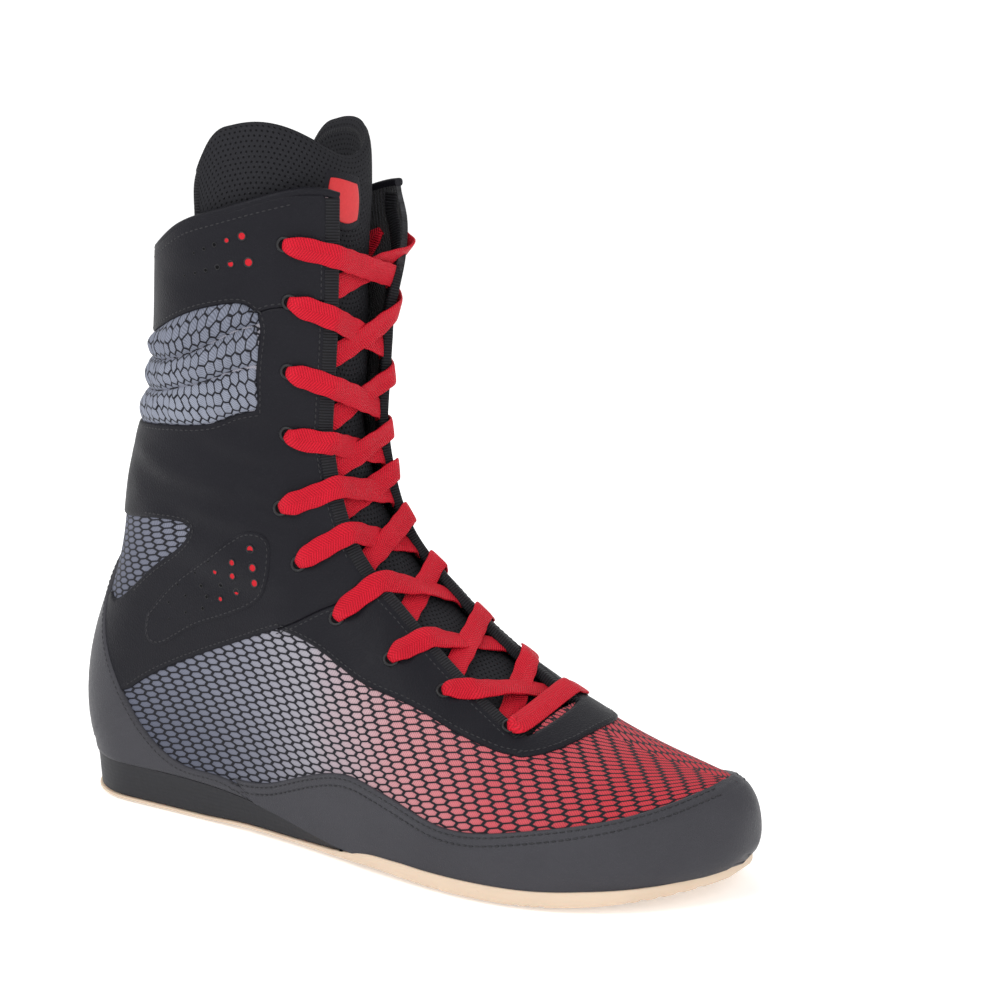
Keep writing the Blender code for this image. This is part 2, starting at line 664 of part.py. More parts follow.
def crossing_half(name, row, side, mat, raise_by, collection=SHOE):
    """From an eyelet over its own flap, across the throat, to the next row's far edge."""
    s_here = section_of(*EYELETS[row])
    s_next = section_of(*EYELETS[row + 1])
    lift = LACE_CLEAR + LACE_THICK / 2
    s_bend = s_here + 0.25 * (s_next - s_here)
    points, normals = over_the_flap(row, side, s_bend, lift)
    slants = [(len(points) - 1, edge_line(s_bend, side))]
    s_end = s_next + LACE_END_SHIFT * (s_here - s_next)
    end = throat_edge(s_end, -side, -0.9 * WALL)
    more_points, more_normals = across_the_gap((points[-1], normals[-1]), end, 4)
    points, normals = points + more_points, normals + more_normals
    middle = np.sin(np.linspace(0, math.pi, len(points)))[:, None]
    points = np.array(points) + np.array(normals) * raise_by * middle
    slants.append((len(points) - 1, edge_line(s_end, -side)))
    return ribbon(name, points, normals, mat, collection, slants)


lace_weave = material("lace_weave", (0.68, 0.013, 0.035), 0.6)
for row in range(len(EYELETS) - 1):
    name = f"lace_crossing_{row + 1}"
    over, under = (-1, 1) if row % 2 == 0 else (1, -1)
    crossing = crossing_half(name, row, over, lace_weave, 0.0003)
    boolean(crossing, crossing_half(name + "_under", row, under, None, 0.0, CUTTERS), "UNION")

low_row = len(EYELETS) - 1
low_s = float(section_of(*EYELETS[low_row])) - 0.015
bar_lift = LACE_CLEAR + LACE_THICK / 2
outer_points, outer_normals = over_the_flap(low_row, -1, low_s, bar_lift)
inner_points, inner_normals = over_the_flap(low_row, 1, low_s, bar_lift)
gap_points, gap_normals = across_the_gap((outer_points[-1], outer_normals[-1]),
                                         (inner_points[-1], inner_normals[-1]), 3)
ribbon("lace_bar", outer_points + gap_points + inner_points[-2::-1],
       outer_normals + gap_normals + inner_normals[-2::-1], lace_weave)
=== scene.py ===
"""Looks for a high-top boxing shoe, right foot: cloth, leather, rubber and laces over its CAD frame.

+X points to the toe, +Y to the inner side of the foot, +Z up.
"""
import math

import bmesh
import bpy
import numpy as np
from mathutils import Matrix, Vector
from mathutils.geometry import delaunay_2d_cdt


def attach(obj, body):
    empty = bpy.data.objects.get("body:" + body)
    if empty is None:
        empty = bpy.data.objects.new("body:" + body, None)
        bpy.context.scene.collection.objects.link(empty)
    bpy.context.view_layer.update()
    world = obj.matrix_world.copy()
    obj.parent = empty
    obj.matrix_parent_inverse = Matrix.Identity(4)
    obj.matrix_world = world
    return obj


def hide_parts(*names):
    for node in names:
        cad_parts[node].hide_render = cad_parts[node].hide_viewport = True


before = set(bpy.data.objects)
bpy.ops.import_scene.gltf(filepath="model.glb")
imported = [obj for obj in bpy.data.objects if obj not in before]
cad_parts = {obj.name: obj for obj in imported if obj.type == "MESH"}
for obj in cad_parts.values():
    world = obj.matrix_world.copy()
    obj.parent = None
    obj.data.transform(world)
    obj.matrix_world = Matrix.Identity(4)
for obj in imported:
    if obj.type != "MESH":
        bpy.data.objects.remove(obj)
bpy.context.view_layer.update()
scene = bpy.context.scene

# ---- Camera: a product shot from in front of the toe on the outer side, a little above ----
# A long lens, so the shoe keeps its proportions.
sight = bpy.data.cameras.new("studio_camera")
sight.lens, sight.sensor_width = 83.88, 36
camera = bpy.data.objects.new("studio_camera", sight)
scene.collection.objects.link(camera)
turn, rise = math.radians(32.5), math.radians(11.8)
away = Vector((math.sin(turn) * math.cos(rise), -math.cos(turn) * math.cos(rise), math.sin(rise)))
camera.location = Vector((0.1572, 0, 0.1347)) + away * 0.850
camera.rotation_euler = away.to_track_quat("Z", "Y").to_euler()
scene.camera = camera

# ---- The last: the wooden foot shape that every layer of the shoe is drawn over ----
# A side-view outline, widths along the foot and up the leg, and rounded closings, in millimetres for
# a base size and graded to metres.  s runs from the toe up the leg, t from the front ridge (0) round
# to the sole or the back (1), negative on the outer side.
GRADE = np.array([0.2890 / 302.5, 0.0984 / 103.0, 0.2450 / 256.5])
HEEL_REST_X, TOE_X, PIVOT_X, PIVOT_Z = 38.0, 306.0, 168.0, 172.0
FAN, SHAFT_SPAN, FLARE, TOE_SWING = math.radians(78.0), 150.0, 19.0, 12.0
WALL = 0.0025
THROAT_HALF = 0.0168
RIDGE = [(306, 25), (305, 34), (299, 41.5), (287, 44.5), (272, 47), (255, 51.5), (238, 58.5),
         (217, 69.5), (197, 82), (179, 95.5), (164, 109.5), (152, 125), (146, 144), (145, 170),
         (146, 200), (147, 235), (148, 275), (148, 310)]
NOSE = [(306, 25), (305, 17), (300.5, 10.5)]
FEATHER = [(300.5, 10.5), (290, 8.6), (275, 7.0), (255, 6.0), (225, 5.5), (190, 5.5), (160, 6),
           (135, 9.5), (110, 13.5), (80, 16), (50, 16.5), (8, 17)]
BACK = [(8, 17), (5, 26), (3.5, 38), (5, 54), (10, 72), (18, 92), (24, 112), (28, 135), (34, 155),
        (41, 175), (46, 200), (48, 225), (50, 250), (53, 300)]
PLAN_X = [0, 40, 80, 120, 165, 205, 235, 260, 283, 306]
PLAN_OUTER = [34, 35, 36, 39, 46, 50.5, 51, 49, 45, 37]
PLAN_INNER = [34, 34, 33, 33.5, 39, 46, 51, 52, 50, 44]
SHAFT_Z = [40, 70, 100, 140, 180, 220, 260]
SHAFT_HALF = [34, 34, 35, 38, 41, 43, 43]
COLLAR = [(48, 231), (62, 233), (80, 242), (95, 247), (112, 252), (126, 256), (137, 256.5), (144, 253)]


def spline(x, xs, ys):
    """Natural cubic spline through (xs, ys), read at x."""
    xs, ys = np.asarray(xs, float), np.asarray(ys, float)
    n, h = len(xs), np.diff(xs)
    system, right = np.zeros((n, n)), np.zeros(n)
    system[0, 0] = system[-1, -1] = 1
    for i in range(1, n - 1):
        system[i, i - 1:i + 2] = h[i - 1], 2 * (h[i - 1] + h[i]), h[i]
        right[i] = 6 * ((ys[i + 1] - ys[i]) / h[i] - (ys[i] - ys[i - 1]) / h[i - 1])
    m = np.linalg.solve(system, right)
    x = np.clip(x, xs[0], xs[-1])
    i = np.clip(np.searchsorted(xs, x) - 1, 0, n - 2)
    d, e = x - xs[i], xs[i + 1] - x
    return ((m[i] * e ** 3 + m[i + 1] * d ** 3) / (6 * h[i])
            + (ys[i] / h[i] - m[i] * h[i] / 6) * e + (ys[i + 1] / h[i] - m[i + 1] * h[i] / 6) * d)


def smooth_curve(points, count):
    """A smooth curve through the points, as count samples."""
    p = np.array(points, float)
    knots = np.r_[0, np.cumsum(np.sqrt(np.linalg.norm(np.diff(p, axis=0), axis=1)))]
    u = np.linspace(0, knots[-1], count)
    return np.stack([spline(u, knots, p[:, k]) for k in range(p.shape[1])], 1)


def ease(u):
    u = np.clip(u, 0, 1)
    return u * u * (3 - 2 * u)


def rounding(u, power):
    return (1 - (1 - np.clip(u, 0, 1)) ** power) ** (1 / power)


def section_of(x, z):
    x, z = np.asarray(x, float), np.asarray(z, float)
    swing = np.arctan2(PIVOT_X - x, PIVOT_Z - z)
    climb = z - PIVOT_Z + (PIVOT_X - x) / math.tan(FAN)
    foot = (TOE_X - x) / (TOE_X - PIVOT_X)
    return np.where(x >= PIVOT_X, foot, np.where(swing < FAN, 1 + swing / FAN, 2 + climb / SHAFT_SPAN))


ridge_curve = smooth_curve(RIDGE, 900)
nose_curve = smooth_curve(NOSE, 90)
feather_curve = smooth_curve(FEATHER, 400)
back_curve = smooth_curve(BACK, 500)
end_curve = np.vstack([nose_curve, feather_curve[1:], back_curve[1:]])
ridge_s, end_s = section_of(*ridge_curve.T), section_of(*end_curve.T)


def ridge_at(s):
    return np.stack([np.interp(s, ridge_s, ridge_curve[:, k]) for k in (0, 1)], -1)


def end_at(s):
    return np.stack([np.interp(s, end_s, end_curve[:, k]) for k in (0, 1)], -1)


def back_x(z):
    return np.interp(z, back_curve[:, 1], back_curve[:, 0])


def feather_z(x):
    return np.interp(x, feather_curve[::-1, 0], feather_curve[::-1, 1])


def centre_y(x):
    return TOE_SWING * np.clip((x - 115) / (TOE_X - 115), 0, 1) ** 1.5


def half_width(x, z, height, depth, side, flare=FLARE):
    plan = spline(x, PLAN_X, PLAN_OUTER if side < 0 else PLAN_INNER) - side * centre_y(x)
    foot_to_shaft = ease((z - 50) / 75)
    wide = plan * (1 - foot_to_shaft) + spline(z, SHAFT_Z, SHAFT_HALF) * foot_to_shaft
    top_round = np.minimum(0.85 * height, 54 + 46 * ease((z - 90) / 80))
    toe = np.interp(z, nose_curve[::-1, 1], nose_curve[::-1, 0])
    wide = wide * rounding(depth / np.maximum(top_round, 1e-3), 2.15)
    wide = wide * rounding((x - back_x(z)) / (33 + 17 * ease((z - 60) / 120)), 2.1)
    wide = wide * rounding((toe - x) / (92 if side < 0 else 62), 2.25)
    if side > 0:
        wide = wide + flare * ease((z - 200) / 48) * np.clip(1 - depth / 55, 0, 1) ** 2
    return wide


def turn_at(s):
    return 1 + ease((s - 1.25) / 0.5)


def last_point(s, t, flare=FLARE):
    s, t = np.broadcast_arrays(np.asarray(s, float), np.asarray(t, float))
    bend = math.pi / 2 * turn_at(s)
    share = (1 - np.cos(np.abs(t) * bend)) / (1 - np.cos(bend))
    top, end = ridge_at(s), end_at(s)
    flat = top + (end - top) * share[..., None]
    height = np.linalg.norm(end - top, axis=-1)
    x, z = flat[..., 0], flat[..., 1]
    outer = half_width(x, z, height, share * height, -1)
    inner = half_width(x, z, height, share * height, 1, flare)
    return np.stack([x, centre_y(x) + np.where(t < 0, -outer, inner), z], -1)


def place(x, z, side):
    """(s, t) of a side-view point in base millimetres, on one side of the shoe."""
    x, z = np.asarray(x, float), np.asarray(z, float)
    s = section_of(x, z)
    top, end = ridge_at(s), end_at(s)
    share = np.linalg.norm(np.stack([x, z], -1) - top, axis=-1) / np.linalg.norm(end - top, axis=-1)
    bend = math.pi / 2 * turn_at(s)
    t = np.arccos(np.clip(1 - np.clip(share, 0, 1) * (1 - np.cos(bend)), -1, 1)) / bend
    return s, side * t


def graded(p):
    return (np.asarray(p, float) - np.array([HEEL_REST_X, 0, 0])) * GRADE


def base_of(p):
    return np.asarray(p, float) / GRADE + np.array([HEEL_REST_X, 0, 0])


def normal_at(s, t, flare=FLARE):
    e = 2e-3
    near = np.clip(t, -0.985, 0.985)
    near = np.where(np.abs(near) < 0.01, np.where(near < 0, -0.01, 0.01), near)
    at = np.maximum(s, 0.01)
    along = graded(last_point(at + e, near, flare)) - graded(last_point(at - e, near, flare))
    across = graded(last_point(at, near + e, flare)) - graded(last_point(at, near - e, flare))
    normal = np.cross(across, along)
    middle = (np.abs(t) < 0.005) | ((np.abs(t) > 0.9995) & (s > 1.55))
    normal[..., 1] = np.where(middle, 0, normal[..., 1])
    return normal / np.maximum(np.linalg.norm(normal, axis=-1, keepdims=True), 1e-12)


# worn-in troughs, each from one side-view point to another: reach across it, and depth, in millimetres
TROUGHS = [((46, 146), (112, 132), 5.0, 1.5), ((58, 134), (126, 117), 4.5, 1.4),
           ((84, 157), (124, 148), 4.0, 1.0), ((66, 108), (128, 98), 5.0, 0.9),
           ((92, 170), (126, 164), 3.5, 0.8), ((96, 145), (127, 129), 3.0, 0.8),
           ((118, 206), (132, 196), 3.5, 0.7), ((70, 222), (118, 232), 6.0, 0.9),
           ((160, 92), (186, 60), 5.5, 0.5), ((205, 70), (216, 36), 6.0, 0.6),
           ((222, 62), (236, 38), 5.0, 0.5), ((150, 72), (120, 50), 7.0, 0.4)]


def crease_height(p):
    """Soft troughs with a low ridge beside each, as a height over the surface, in metres."""
    base = base_of(p)
    q = base[..., [0, 2]]
    side = np.where(base[..., 1] < 0, 0.0, 2.5)
    total = np.zeros(q.shape[:-1])
    for start, end, reach, depth in TROUGHS:
        a, b = np.array(start, float), np.array(end, float)
        way = b - a
        share = np.clip(((q - a) @ way) / (way @ way), 0, 1)
        bow = np.sin(math.pi * share) * reach * 0.7
        off = q - a - share[..., None] * way
        sided = (off[..., 0] * -way[1] + off[..., 1] * way[0]) / np.linalg.norm(way)
        beyond = np.linalg.norm(off, axis=-1) - np.abs(sided)
        d = (sided + bow + side) / reach
        fade = np.sin(math.pi * (0.08 + 0.84 * share)) * np.exp(-(beyond / reach) ** 2)
        total = total + depth * fade * (0.45 * np.exp(-(d - 1.5) ** 2) - np.exp(-d ** 2))
    return total * 0.001


def surface(s, t, offset=0.0, flare=FLARE):
    """The graded surface with its creases, moved out by offset metres."""
    s, t = np.broadcast_arrays(np.asarray(s, float), np.asarray(t, float))
    p = graded(last_point(s, t, flare))
    q = p + normal_at(s, t, flare) * (offset + crease_height(p))[..., None]
    on_seam = np.abs(t) > 0.9995
    q[..., 1] = np.where(on_seam & (s > 1.58), 0.0, q[..., 1])
    q[..., 1] = np.where(on_seam & (s < 0.0395), p[..., 1], q[..., 1])
    return q


def throat_y(x):
    return -6.0 * ease((x - 165) / 80)


def throat_t(s, side, inset=0.0):
    """|t| of the lace opening's edge at each section, or inset metres back from it."""
    tries = np.linspace(1e-4, 0.6, 240)
    s = np.atleast_1d(s)
    p = last_point(s[:, None], side * tries[None, :])
    y = side * (p[..., 1] - throat_y(p[..., 0])) * GRADE[1]
    y = y - FLARE * GRADE[1] * ease((p[..., 2] - 200) / 48) * (side > 0)
    edge = np.array([np.interp(THROAT_HALF, row, tries) for row in y])
    step = graded(last_point(s, side * (edge + 0.01))) - graded(last_point(s, side * edge))
    return edge + inset * 0.01 / np.linalg.norm(step, axis=1)


def collar_s(x):
    line = smooth_curve(COLLAR, 120)
    return section_of(x, np.interp(x, line[:, 0], line[:, 1]))


SLIT_S = float(section_of(230.0, 60))
HEEL_S = float(section_of(8, 17))
TOP_S = 2.56


def lift_to_collar(s, t):
    """Stretches the rows of the shaft so that the highest one follows the collar."""
    stretch = np.clip((s - 2.0) / (TOP_S - 2.0), 0, 1)
    x = last_point(s, t)[..., 0]
    return np.where(stretch > 0, 2.0 + stretch * (collar_s(x) - 2.0), s)


# ---- The upper's body: knitted gradient cloth outside, black ribbed lining inside ----
# One sewn sock of foam-backed cloth that everything else is stitched onto.  It is open at the top and
# at the throat, and its foot is lasted under the insole.
class Fibre:
    """A value on its way through a finish.  Arithmetic on it adds the nodes."""

    def __init__(self, finish, socket):
        self.finish, self.socket = finish, socket

    def math(self, operation, *others):
        return self.finish.node("ShaderNodeMath", {"operation": operation}, {
            i: value for i, value in enumerate((self, *others))})

    def __add__(self, other):
        return self.math("ADD", other)

    def __radd__(self, other):
        return self.math("ADD", other)

    def __sub__(self, other):
        return self.math("SUBTRACT", other)

    def __mul__(self, other):
        return self.math("MULTIPLY", other)

    def __rmul__(self, other):
        return self.math("MULTIPLY", other)

    def __truediv__(self, other):
        return self.math("DIVIDE", other)

    def __rsub__(self, other):
        return self.finish.node("ShaderNodeMath", {"operation": "SUBTRACT"}, {0: other, 1: self})

    def step(self, low, high):
        """0 under low, 1 over high, eased between."""
        return self.finish.node("ShaderNodeMapRange", {"interpolation_type": "SMOOTHSTEP"},
                                {"Value": self, "From Min": low, "From Max": high})

    def out(self, name):
        return Fibre(self.finish, self.socket.node.outputs[name])


class Finish:
    """A material, named for what it covers, with one way of adding nodes."""

    def __init__(self, name, **shader):
        self.material = bpy.data.materials.new(name)
        self.material.use_nodes = True
        self.nodes = self.material.node_tree.nodes
        self.links = self.material.node_tree.links
        self.shader = self.nodes["Principled BSDF"]
        for socket, value in shader.items():
            self.set(self.shader, socket.replace("_", " "), value)

    def set(self, node, socket, value):
        if isinstance(value, Fibre):
            self.links.new(value.socket, node.inputs[socket])
        else:
            node.inputs[socket].default_value = value

    def node(self, kind, settings, sockets):
        node = self.nodes.new(kind)
        for name, value in settings.items():
            setattr(node, name, value)
        for name, value in sockets.items():
            self.set(node, name, value)
        outputs = [o for o in node.outputs if o.enabled]
        return Fibre(self, outputs[0])

    def place(self, kind="Object"):
        return self.node("ShaderNodeTexCoord", {}, {}).out(kind)

    def ramp(self, value, stops, interpolation="LINEAR"):
        node = self.nodes.new("ShaderNodeValToRGB")
        node.color_ramp.interpolation = interpolation
        for extra in stops[2:]:
            node.color_ramp.elements.new(extra[0])
        for element, (position, colour) in zip(node.color_ramp.elements, stops):
            element.position, element.color = position, (*colour, 1)
        self.set(node, "Fac", value)
        return Fibre(self, node.outputs["Color"])

    def noise(self, where, scale, detail=3.0, roughness=0.55):
        return self.node("ShaderNodeTexNoise", {}, {"Vector": where, "Scale": scale, "Detail": detail,
                                                    "Roughness": roughness})

    def mix(self, factor, low, high):
        node = self.nodes.new("ShaderNodeMix")
        node.data_type = "RGBA"
        for socket, value in ((0, factor), (6, low), (7, high)):
            if isinstance(value, Fibre):
                self.links.new(value.socket, node.inputs[socket])
            else:
                node.inputs[socket].default_value = (*value, 1) if isinstance(value, tuple) else value
        return Fibre(self, node.outputs[2])

    def parts(self, vector):
        split = self.node("ShaderNodeSeparateXYZ", {}, {"Vector": vector})
        return split.out("X"), split.out("Y"), split.out("Z")

    def wear(self, base=None, roughness=None, height=None, depth=0.001, strength=1.0):
        """Plugs what varies over the surface into the shader."""
        if base is not None:
            self.set(self.shader, "Base Color", base)
        if roughness is not None:
            self.set(self.shader, "Roughness", roughness)
        if height is not None:
            bump = self.node("ShaderNodeBump", {}, {"Height": height, "Distance": depth,
                                                    "Strength": strength})
            self.set(self.shader, "Normal", bump)
        return self.material


def net_cells(finish, u, v, width, pitch, shear, line):
    """A knitted net of flat-sided six-cornered cells.  Returns a mask, 0 on the net and 1 in a
    cell, and how far in from the cell's edge a point is, in metres."""
    half_row = 0.8660254         # cosine of 30 degrees
    a = u / width + v * (shear / width)
    b = v / (pitch / half_row)
    reaches = []
    for shift_a, shift_b in ((0.0, 0.0), (0.5, half_row)):
        x = (a + shift_a).math("FRACT") - 0.5
        y = (b + shift_b).math("FLOORED_MODULO", 2 * half_row) - half_row
        x_off, y_off = x.math("ABSOLUTE"), y.math("ABSOLUTE")
        reaches.append(x_off.math("MAXIMUM", x_off * 0.5 + y_off * half_row))
    inside = (0.5 - reaches[0].math("MINIMUM", reaches[1])) * pitch
    return inside.step(line * 0.5, line * 0.95), inside


def gradient_cloth(name, window=False):
    """Printed cloth, navy at the heel to grey-lilac, pink and red at the toe, under a black net; painted
    shade darkens it low at the heel and along the cells' edges.
    """
    finish = Finish(name, Specular_IOR_Level=0.15)
    where = finish.place()
    x, y, z = finish.parts(where)
    u, v, _ = finish.parts(finish.place("UV"))
    patchy = finish.noise(where, 45.0, 2.0)
    if window:
        tint = finish.ramp((z - 0.150) / 0.06 + (patchy - 0.5) * 0.5,
                           [(0.0, (0.33, 0.355, 0.43)), (1.0, (0.17, 0.185, 0.24))])
    else:
        along = (x + z * 0.12 + (patchy - 0.5) * 0.012) / 0.28
        tint = finish.ramp(along, [(0.0, (0.14, 0.15, 0.20)), (0.16, (0.20, 0.212, 0.27)),
                                   (0.27, (0.29, 0.295, 0.355)), (0.37, (0.43, 0.41, 0.46)),
                                   (0.46, (0.58, 0.40, 0.43)), (0.55, (0.66, 0.27, 0.29)),
                                   (0.66, (0.66, 0.105, 0.125)), (0.80, (0.64, 0.045, 0.058)),
                                   (1.0, (0.60, 0.030, 0.045))])
        # painted shade: the cloth darkens towards navy low at the back of the heel, near the sole
        low = (z * -1.0 + 0.042).step(-0.020, 0.020) * (x * -1.0 + 0.09).step(-0.03, 0.05)
        tint = finish.mix(low * 0.5, tint, (0.07, 0.08, 0.12))
    width, pitch, shear = (0.0037, 0.0050, 0.15) if window else (0.0067, 0.0024, -0.7)
    cell, inside = net_cells(finish, u, v, width, pitch, shear, 0.00048 if window else 0.00038)
    hatch = ((u + v * 0.9) / 0.00095).math("FRACT").math("PINGPONG", 0.5) * 2.0
    # the hatch is the knit's own pattern; the darkening at each cell's edge beside the raised net is painted
    # shade
    shade = finish.mix((1.0 - hatch) * 0.52 + inside.step(0.0009, 0.0002) * 0.12, tint, (0.03, 0.03, 0.042))
    net = (0.010, 0.010, 0.014)
    base = finish.mix(cell, net, shade)
    height = (1.0 - cell) * 0.6 + cell * hatch * 0.35
    return finish.wear(base, (1.0 - cell) * -0.2 + 0.78, height, 0.0003, 0.8)


def ribbed_lining(name, pitch=0.0016):
    finish = Finish(name, Sheen_Weight=0.1)
    where = finish.place()
    u, v, _ = finish.parts(finish.place("UV"))
    rib = (u / pitch).math("FRACT").math("PINGPONG", 0.5) * 2.0
    knit = (v / (pitch * 0.6)).math("FRACT").math("PINGPONG", 0.5) * 2.0
    base = finish.mix(rib * (0.6 + knit * 0.4), (0.006, 0.006, 0.008), (0.032, 0.032, 0.037))
    return finish.wear(base, 0.85, rib + knit * 0.35 + finish.noise(where, 900.0) * 0.3, 0.0005, 0.9)


cloth = gradient_cloth("gradient_cloth")
lining = ribbed_lining("ribbed_lining")


def link(name, vertices, faces, materials, uvs=None, slots=None, smooth=True):
    """A new object at the origin from plain lists."""
    mesh = bpy.data.meshes.new(name)
    mesh.from_pydata([tuple(v) for v in vertices], [], [tuple(int(k) for k in f) for f in faces])
    for mat in materials:
        mesh.materials.append(mat)
    if slots is not None:
        mesh.polygons.foreach_set("material_index", slots)
    if uvs is not None:
        layer = mesh.uv_layers.new(name="cloth_way")
        corner = np.empty(len(mesh.loops), dtype=np.int32)
        mesh.loops.foreach_get("vertex_index", corner)
        layer.data.foreach_set("uv", np.asarray(uvs, float)[corner].ravel())
    mesh.polygons.foreach_set("use_smooth", [smooth] * len(mesh.polygons))
    obj = bpy.data.objects.new(name, mesh)
    scene.collection.objects.link(obj)
    return obj


def quads(first, rows, columns):
    """The faces of a grid of rows by columns vertices, of which the first one is given."""
    return [(a, a + 1, a + columns + 1, a + columns) for i in range(rows - 1)
            for a in range(first + i * columns, first + (i + 1) * columns - 1)]


def grid_rim(rows, columns):
    """Pairs of neighbouring vertices, once round a grid's edge."""
    edge = [i * columns for i in range(rows)] + [(rows - 1) * columns + j for j in range(1, columns)]
    edge += [i * columns + columns - 1 for i in range(rows - 2, -1, -1)] + list(range(columns - 2, 0, -1))
    return list(zip(edge, edge[1:] + edge[:1]))


def tidy(obj, distance=1e-5, sharp=50):
    """Welds doubles, points faces out and marks sharp edges."""
    bm = bmesh.new()
    bm.from_mesh(obj.data)
    bmesh.ops.remove_doubles(bm, verts=bm.verts, dist=distance)
    bmesh.ops.dissolve_degenerate(bm, edges=bm.edges, dist=distance * 0.2)
    bmesh.ops.recalc_face_normals(bm, faces=bm.faces)
    for edge in bm.edges:
        if len(edge.link_faces) == 2:
            edge.smooth = edge.calc_face_angle(0.0) < math.radians(sharp)
    bm.to_mesh(obj.data)
    bm.free()
    return obj


# lengths along the cloth, measured round the last: u back from the toe, v up from the sole
level_z = np.linspace(12, 262, 56)
level_x = np.linspace(6, 300, 160)


def measure_cloth(side):
    xs, zs = np.meshgrid(level_x, level_z)
    xs = np.maximum(xs, back_x(zs) + 0.3)
    s, t = place(xs, zs, side)
    p = last_point(s, t)
    step_x = np.hypot(np.diff(xs, axis=1), np.clip(np.diff(p[..., 1], axis=1), -8, 8))
    step_z = np.hypot(np.diff(zs, axis=0), np.clip(np.diff(p[..., 1], axis=0), -6, 6))
    u = np.hstack([np.zeros((len(level_z), 1)), np.cumsum(step_x, axis=1)])
    v = np.vstack([np.zeros((1, len(level_x))), np.cumsum(step_z, axis=0)])
    mid = np.argmin(np.abs(level_x - 150))
    u = u - u[:, [mid]]
    foot = np.argmin(np.abs(level_z - 30))
    v = v - v[[foot], :] + (30 - feather_z(level_x))[None, :]
    return u * 0.001, v * 0.001


cloth_tables = {side: measure_cloth(side) for side in (-1, 1)}


foot_s, foot_t = np.linspace(0.004, 1.0, 90), np.linspace(0, 1, 120)


def measure_foot(side):
    """The same lengths in front of the ankle, along each section."""
    p = last_point(foot_s[:, None], side * foot_t[None, :])
    up = np.linalg.norm(np.diff(p, axis=1), axis=2)
    v = np.hstack([np.cumsum(up[:, ::-1], axis=1)[:, ::-1], np.zeros((len(foot_s), 1))])
    run = np.linalg.norm(np.diff(p[:, 84], axis=0), axis=1)
    u = np.r_[np.cumsum(run[::-1])[::-1], 0] + 19.0
    return v * 0.001, u * 0.001


foot_tables = {side: measure_foot(side) for side in (-1, 1)}


def cloth_uv(s, t, side):
    s, t = np.broadcast_arrays(s, t)
    p = last_point(s, t)
    fx = np.interp(p[..., 0], level_x, np.arange(len(level_x)))
    fz = np.interp(p[..., 2], level_z, np.arange(len(level_z)))
    i, j = np.minimum(fz.astype(int), len(level_z) - 2), np.minimum(fx.astype(int), len(level_x) - 2)
    a, b = fz - i, fx - j
    found = []
    for table in cloth_tables[side]:
        found.append(table[i, j] * (1 - a) * (1 - b) + table[i + 1, j] * a * (1 - b)
                     + table[i, j + 1] * (1 - a) * b + table[i + 1, j + 1] * a * b)
    up, run = foot_tables[side]
    fs = np.interp(s, foot_s, np.arange(len(foot_s)))
    ft = np.interp(np.abs(t), foot_t, np.arange(len(foot_t)))
    i, j = np.minimum(fs.astype(int), len(foot_s) - 2), np.minimum(ft.astype(int), len(foot_t) - 2)
    a, b = fs - i, ft - j
    v = (up[i, j] * (1 - a) * (1 - b) + up[i + 1, j] * a * (1 - b)
         + up[i, j + 1] * (1 - a) * b + up[i + 1, j + 1] * a * b)
    front = s < 1.0
    u = np.where(front, np.interp(s, foot_s, run), found[0])
    return np.stack([u, np.where(front, v, found[1]) * 0.955], -1)


def body_grid(side, under=6, down=52):
    toe = (np.linspace(0, 1, 26)[1:] ** 1.5) * 0.20
    rows = np.concatenate([toe, np.linspace(0.20, SLIT_S, 34)[1:], np.linspace(SLIT_S, 1.0, 36)[1:],
                           np.linspace(1.0, 2.0, 66)[1:], np.linspace(2.0, TOP_S, 50)[1:]])
    near = ease(rows / SLIT_S)
    edge = throat_t(np.maximum(rows, SLIT_S), side) * near + (1 - near) * 0.12
    t = edge[:, None] + (1 - edge[:, None]) * np.linspace(0, 1, down)[None, :]
    t = np.hstack([edge[:, None] * np.linspace(0, 1, under)[None, :-1], t])
    s = np.repeat(rows[:, None], t.shape[1], 1)
    return lift_to_collar(s, side * t), side * t, rows


def body_halves():
    vertices, faces, uvs, slots = [], [], [], []
    under = 6
    for side in (-1, 1):
        s, t, rows = body_grid(side, under)
        count_r, count_c = s.shape
        for depth in (0.0, -WALL):
            first = len(vertices)
            p = surface(s, t, depth)
            vertices += list(p.reshape(-1, 3))
            uvs += list(cloth_uv(s, t, side).reshape(-1, 2))
            for i in range(count_r - 1):
                start = under - 1 if rows[i] > SLIT_S - 1e-6 else 0
                for j in range(start, count_c - 1):
                    a = first + i * count_c + j
                    faces.append((a, a + 1, a + count_c + 1, a + count_c))
                    slots.append(0 if depth == 0 else 1)
            pole = len(vertices)
            vertices.append(graded(last_point(0.0, 0.0)) + np.array([depth, 0, 0]))
            uvs.append(uvs[first])
            for j in range(count_c - 1):
                faces.append((pole, first + j + 1, first + j))
                slots.append(0 if depth == 0 else 1)
        inner = first
        outer = first - count_r * count_c - 1
        throat = [i for i in range(count_r) if rows[i] > SLIT_S - 1e-6]
        seams = [(i * count_c + under - 1, (i + 1) * count_c + under - 1) for i in throat[:-1]]
        top = (count_r - 1) * count_c
        seams += [(top + j, top + j + 1) for j in range(under - 1, count_c - 1)]
        seams += [(i * count_c + count_c - 1, (i + 1) * count_c + count_c - 1)
                  for i in range(count_r - 1) if rows[i + 1] < HEEL_S]
        slit = throat[0] * count_c
        seams += [(slit + j, slit + j + 1) for j in range(under - 1)]
        for a, b in seams:
            faces.append((outer + a, outer + b, inner + b, inner + a))
            slots.append(1)
    return vertices, faces, uvs, slots


vertices, faces, uvs, slots = body_halves()
upper_body = tidy(link("upper_body", vertices, faces, [cloth, lining], uvs, slots))
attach(upper_body, "root")
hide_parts("upper")

